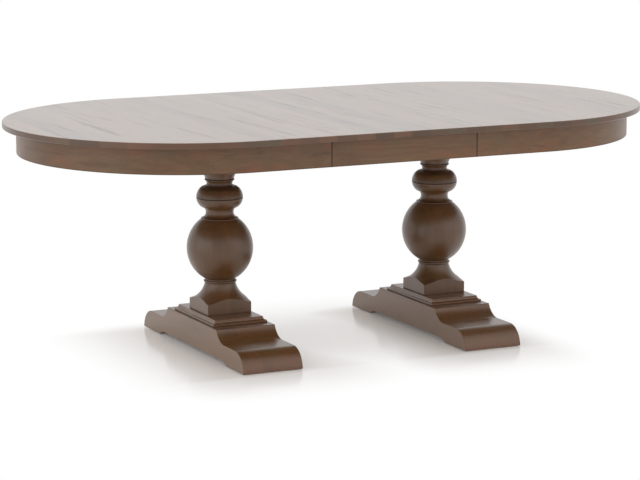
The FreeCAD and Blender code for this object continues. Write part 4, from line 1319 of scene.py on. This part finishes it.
# %% Dressing the hidden nodes
PALE_TONES = ((150, 118, 84), (196, 166, 128), (216, 190, 154), (200, 164, 124), (190, 168, 130))
PEG_TONES = ((128, 92, 60), (166, 128, 90), (188, 152, 112), (172, 128, 90), (160, 132, 96))
HIDDEN = {
    "along_x": wood("pale_wood_lengthways", along_x, PALE_TONES, 0.3, 0.55, 0.1),
    "along_y": wood("pale_wood_crossways", along_y, PALE_TONES, 0.3, 0.55, 0.1),
    "peg": wood("peg_wood", along_z, PEG_TONES, 0.3, 0.5, 0.1),
    "steel": metal("zinc_plate", (176, 178, 180), (138, 140, 146), roughness=0.38),
    "brass": metal("drawn_brass", (196, 160, 90), (150, 116, 60), roughness=0.3),
    "gear": nylon("gear_nylon", (226, 222, 208), (206, 200, 184)),
    "glide": nylon("glide_nylon", (42, 40, 39), (30, 29, 28)),
}
SLOT_FINISH = {
    "peg_wood": "peg",
    "brass_pin": "brass",
    "zinc_steel": "steel",
    "gear_nylon": "gear",
    "glide_nylon": "glide",
}
CROSSWAYS = ("mounting_plate", "risers", "runner_tie_bar")
dressed = {name for piece in MADE for name in piece["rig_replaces"]}
count = 0
for name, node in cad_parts.items():
    if name in dressed:
        continue
    slot = node.material_slots[0].material.name.split(".")[0]
    finish = SLOT_FINISH.get(slot, "along_y" if name.startswith(CROSSWAYS) else "along_x")
    for place in node.material_slots:
        place.material = HIDDEN[finish]
    count += 1
print(count, "nodes keep their shape with a new finish")

# %% [markdown]
# ## Floor and light
# The table stands on a seamless white floor in a white room. The floor is a wide sheet whose
# colour alone makes it white, so it still takes the table's soft shadow. Away from the feet it
# fades to pure white, so the shadow stays close to them and no horizon shows. That fade is painted
# light: a white glow mixed into the floor and shaped round the feet to set how far the shadow
# reaches, and a share of the same glow lights the table's lower parts from below. The room is an
# even white dome, and two large soft lamps give it a direction, from the left and from the front.

# %% Floor
FLOOR_REACH = 30.0
FLOOR_TONES = (colour(251, 248, 245), colour(248, 245, 242))
GLOW_RUN = 0.42
GLOW_BESIDE = 0.10
GLOW_BEFORE = 0.30
BEFORE_RUN = 0.05
SHADE_FRONT = -0.41
SHADE_BACK = 0.33
FADE_RIGHT = 2.0
FADE_FRONT = 1.1
FADE_BACK = 2.5
GLOW_UNDER = 0.34
UNDER_X = (0.5, 0.25)
UNDER_Y = (0.7, 0.1)
# Share of the painted glow that reaches the table as light from below.
BOUNCE = 0.35
foot_width = foot_high.x - foot_low.x


def floor_glow(shader, x, y):
    """How far the floor has faded to pure white: 0 where it takes all its shadow, 1 where none."""
    beside = shader.math("ABSOLUTE", shader.math("ABSOLUTE", x) - COLUMN_X) - foot_width / 2
    to_right = shader.math("GREATER_THAN", x, COLUMN_X)
    beside = shader.math("MAXIMUM", beside, 0.0) * (to_right * (FADE_RIGHT - 1.0) + 1.0)
    before = shader.math("MAXIMUM", SHADE_FRONT - y, 0.0) * FADE_FRONT
    behind = shader.math("MAXIMUM", y - SHADE_BACK, 0.0) * FADE_BACK
    away = shader.math("SQRT", beside * beside + before * before + behind * behind)
    glow = shader.spread(away, 0.0, GLOW_RUN)
    least = shader.spread(before, 0.0, BEFORE_RUN, GLOW_BESIDE, GLOW_BEFORE)
    glow = glow + (1.0 - glow) * least
    under_x = shader.spread(shader.math("ABSOLUTE", x), *UNDER_X)
    under_y = shader.spread(shader.math("ABSOLUTE", y), *UNDER_Y)
    return shader.math("MINIMUM", glow, 1.0 - under_x * under_y * (1.0 - GLOW_UNDER))


def floor_finish():
    """Pale paper with a faint sheen, which gives way to pure white away from the table."""
    made, shader = material("white_floor")
    x, y, z = shader.place()
    speck = shader.noise(shader.point(x, y, z), 3.0, 2.0, 0.5)
    sockets = {"Base Color": shader.mix(*FLOOR_TONES, speck), "Roughness": 0.16}
    sockets["Specular IOR Level"] = 0.5
    paper = shader.node("BsdfPrincipled", None, sockets)
    white = shader.node("Emission", None, {"Color": (1, 1, 1, 1), "Strength": 1.0})
    share = floor_glow(shader, x, y) * shader.math("MAXIMUM", shader.seen(), BOUNCE)
    both = shader.node("MixShader", None, {0: share, 1: shader.read(paper), 2: shader.read(white)})
    shader.node("OutputMaterial", None, {"Surface": shader.read(both)})
    return made


bpy.ops.object.select_all(action="DESELECT")
bpy.ops.mesh.primitive_grid_add(
    x_subdivisions=6, y_subdivisions=6, size=2 * FLOOR_REACH, location=(0, 0, 0)
)
floor = bpy.context.object
floor.name = "studio_floor"
floor.data.materials.append(floor_finish())
print("floor", 2 * FLOOR_REACH, "m wide")

# %% [markdown]
# Two lamps as large as windows give soft shadows, and stand so far round that the ball and the bun
# have a lit and a darker side. The dome is pure white where the camera or a gloss looks at it, and
# a little less where it only lights the wood.

# %% Light
LAMP_SIZE = 5.0
LOOK_AT = Vector((0, 0, 0.4))
DOME_LEVEL = 0.85


def lamp(name, place, power, tint):
    """A large square lamp that looks at the table."""
    bpy.ops.object.light_add(type="AREA", location=place)
    light = bpy.context.object
    light.name = name
    light.data.size = LAMP_SIZE
    light.data.energy = power
    light.data.color = tint
    light.rotation_euler = (LOOK_AT - Vector(place)).to_track_quat("-Z", "Y").to_euler()


lamp("window_left", place=(-4.6, -0.6, 2.2), power=60.0, tint=(1.0, 0.95, 0.90))
lamp("front_fill", place=(3.5, -4.5, 2.6), power=34.0, tint=(1.0, 0.95, 0.89))

dome = bpy.data.worlds.new("white_room")
dome.use_nodes = True
bpy.context.scene.world = dome
room = Shader(dome.node_tree)
level = room.math("MAXIMUM", room.seen(), DOME_LEVEL)
sky = room.node("Background", None, {"Color": (1, 1, 1, 1), "Strength": level})
room.node("OutputWorld", None, {"Surface": room.read(sky)})
print("two lamps, and a dome at", DOME_LEVEL)
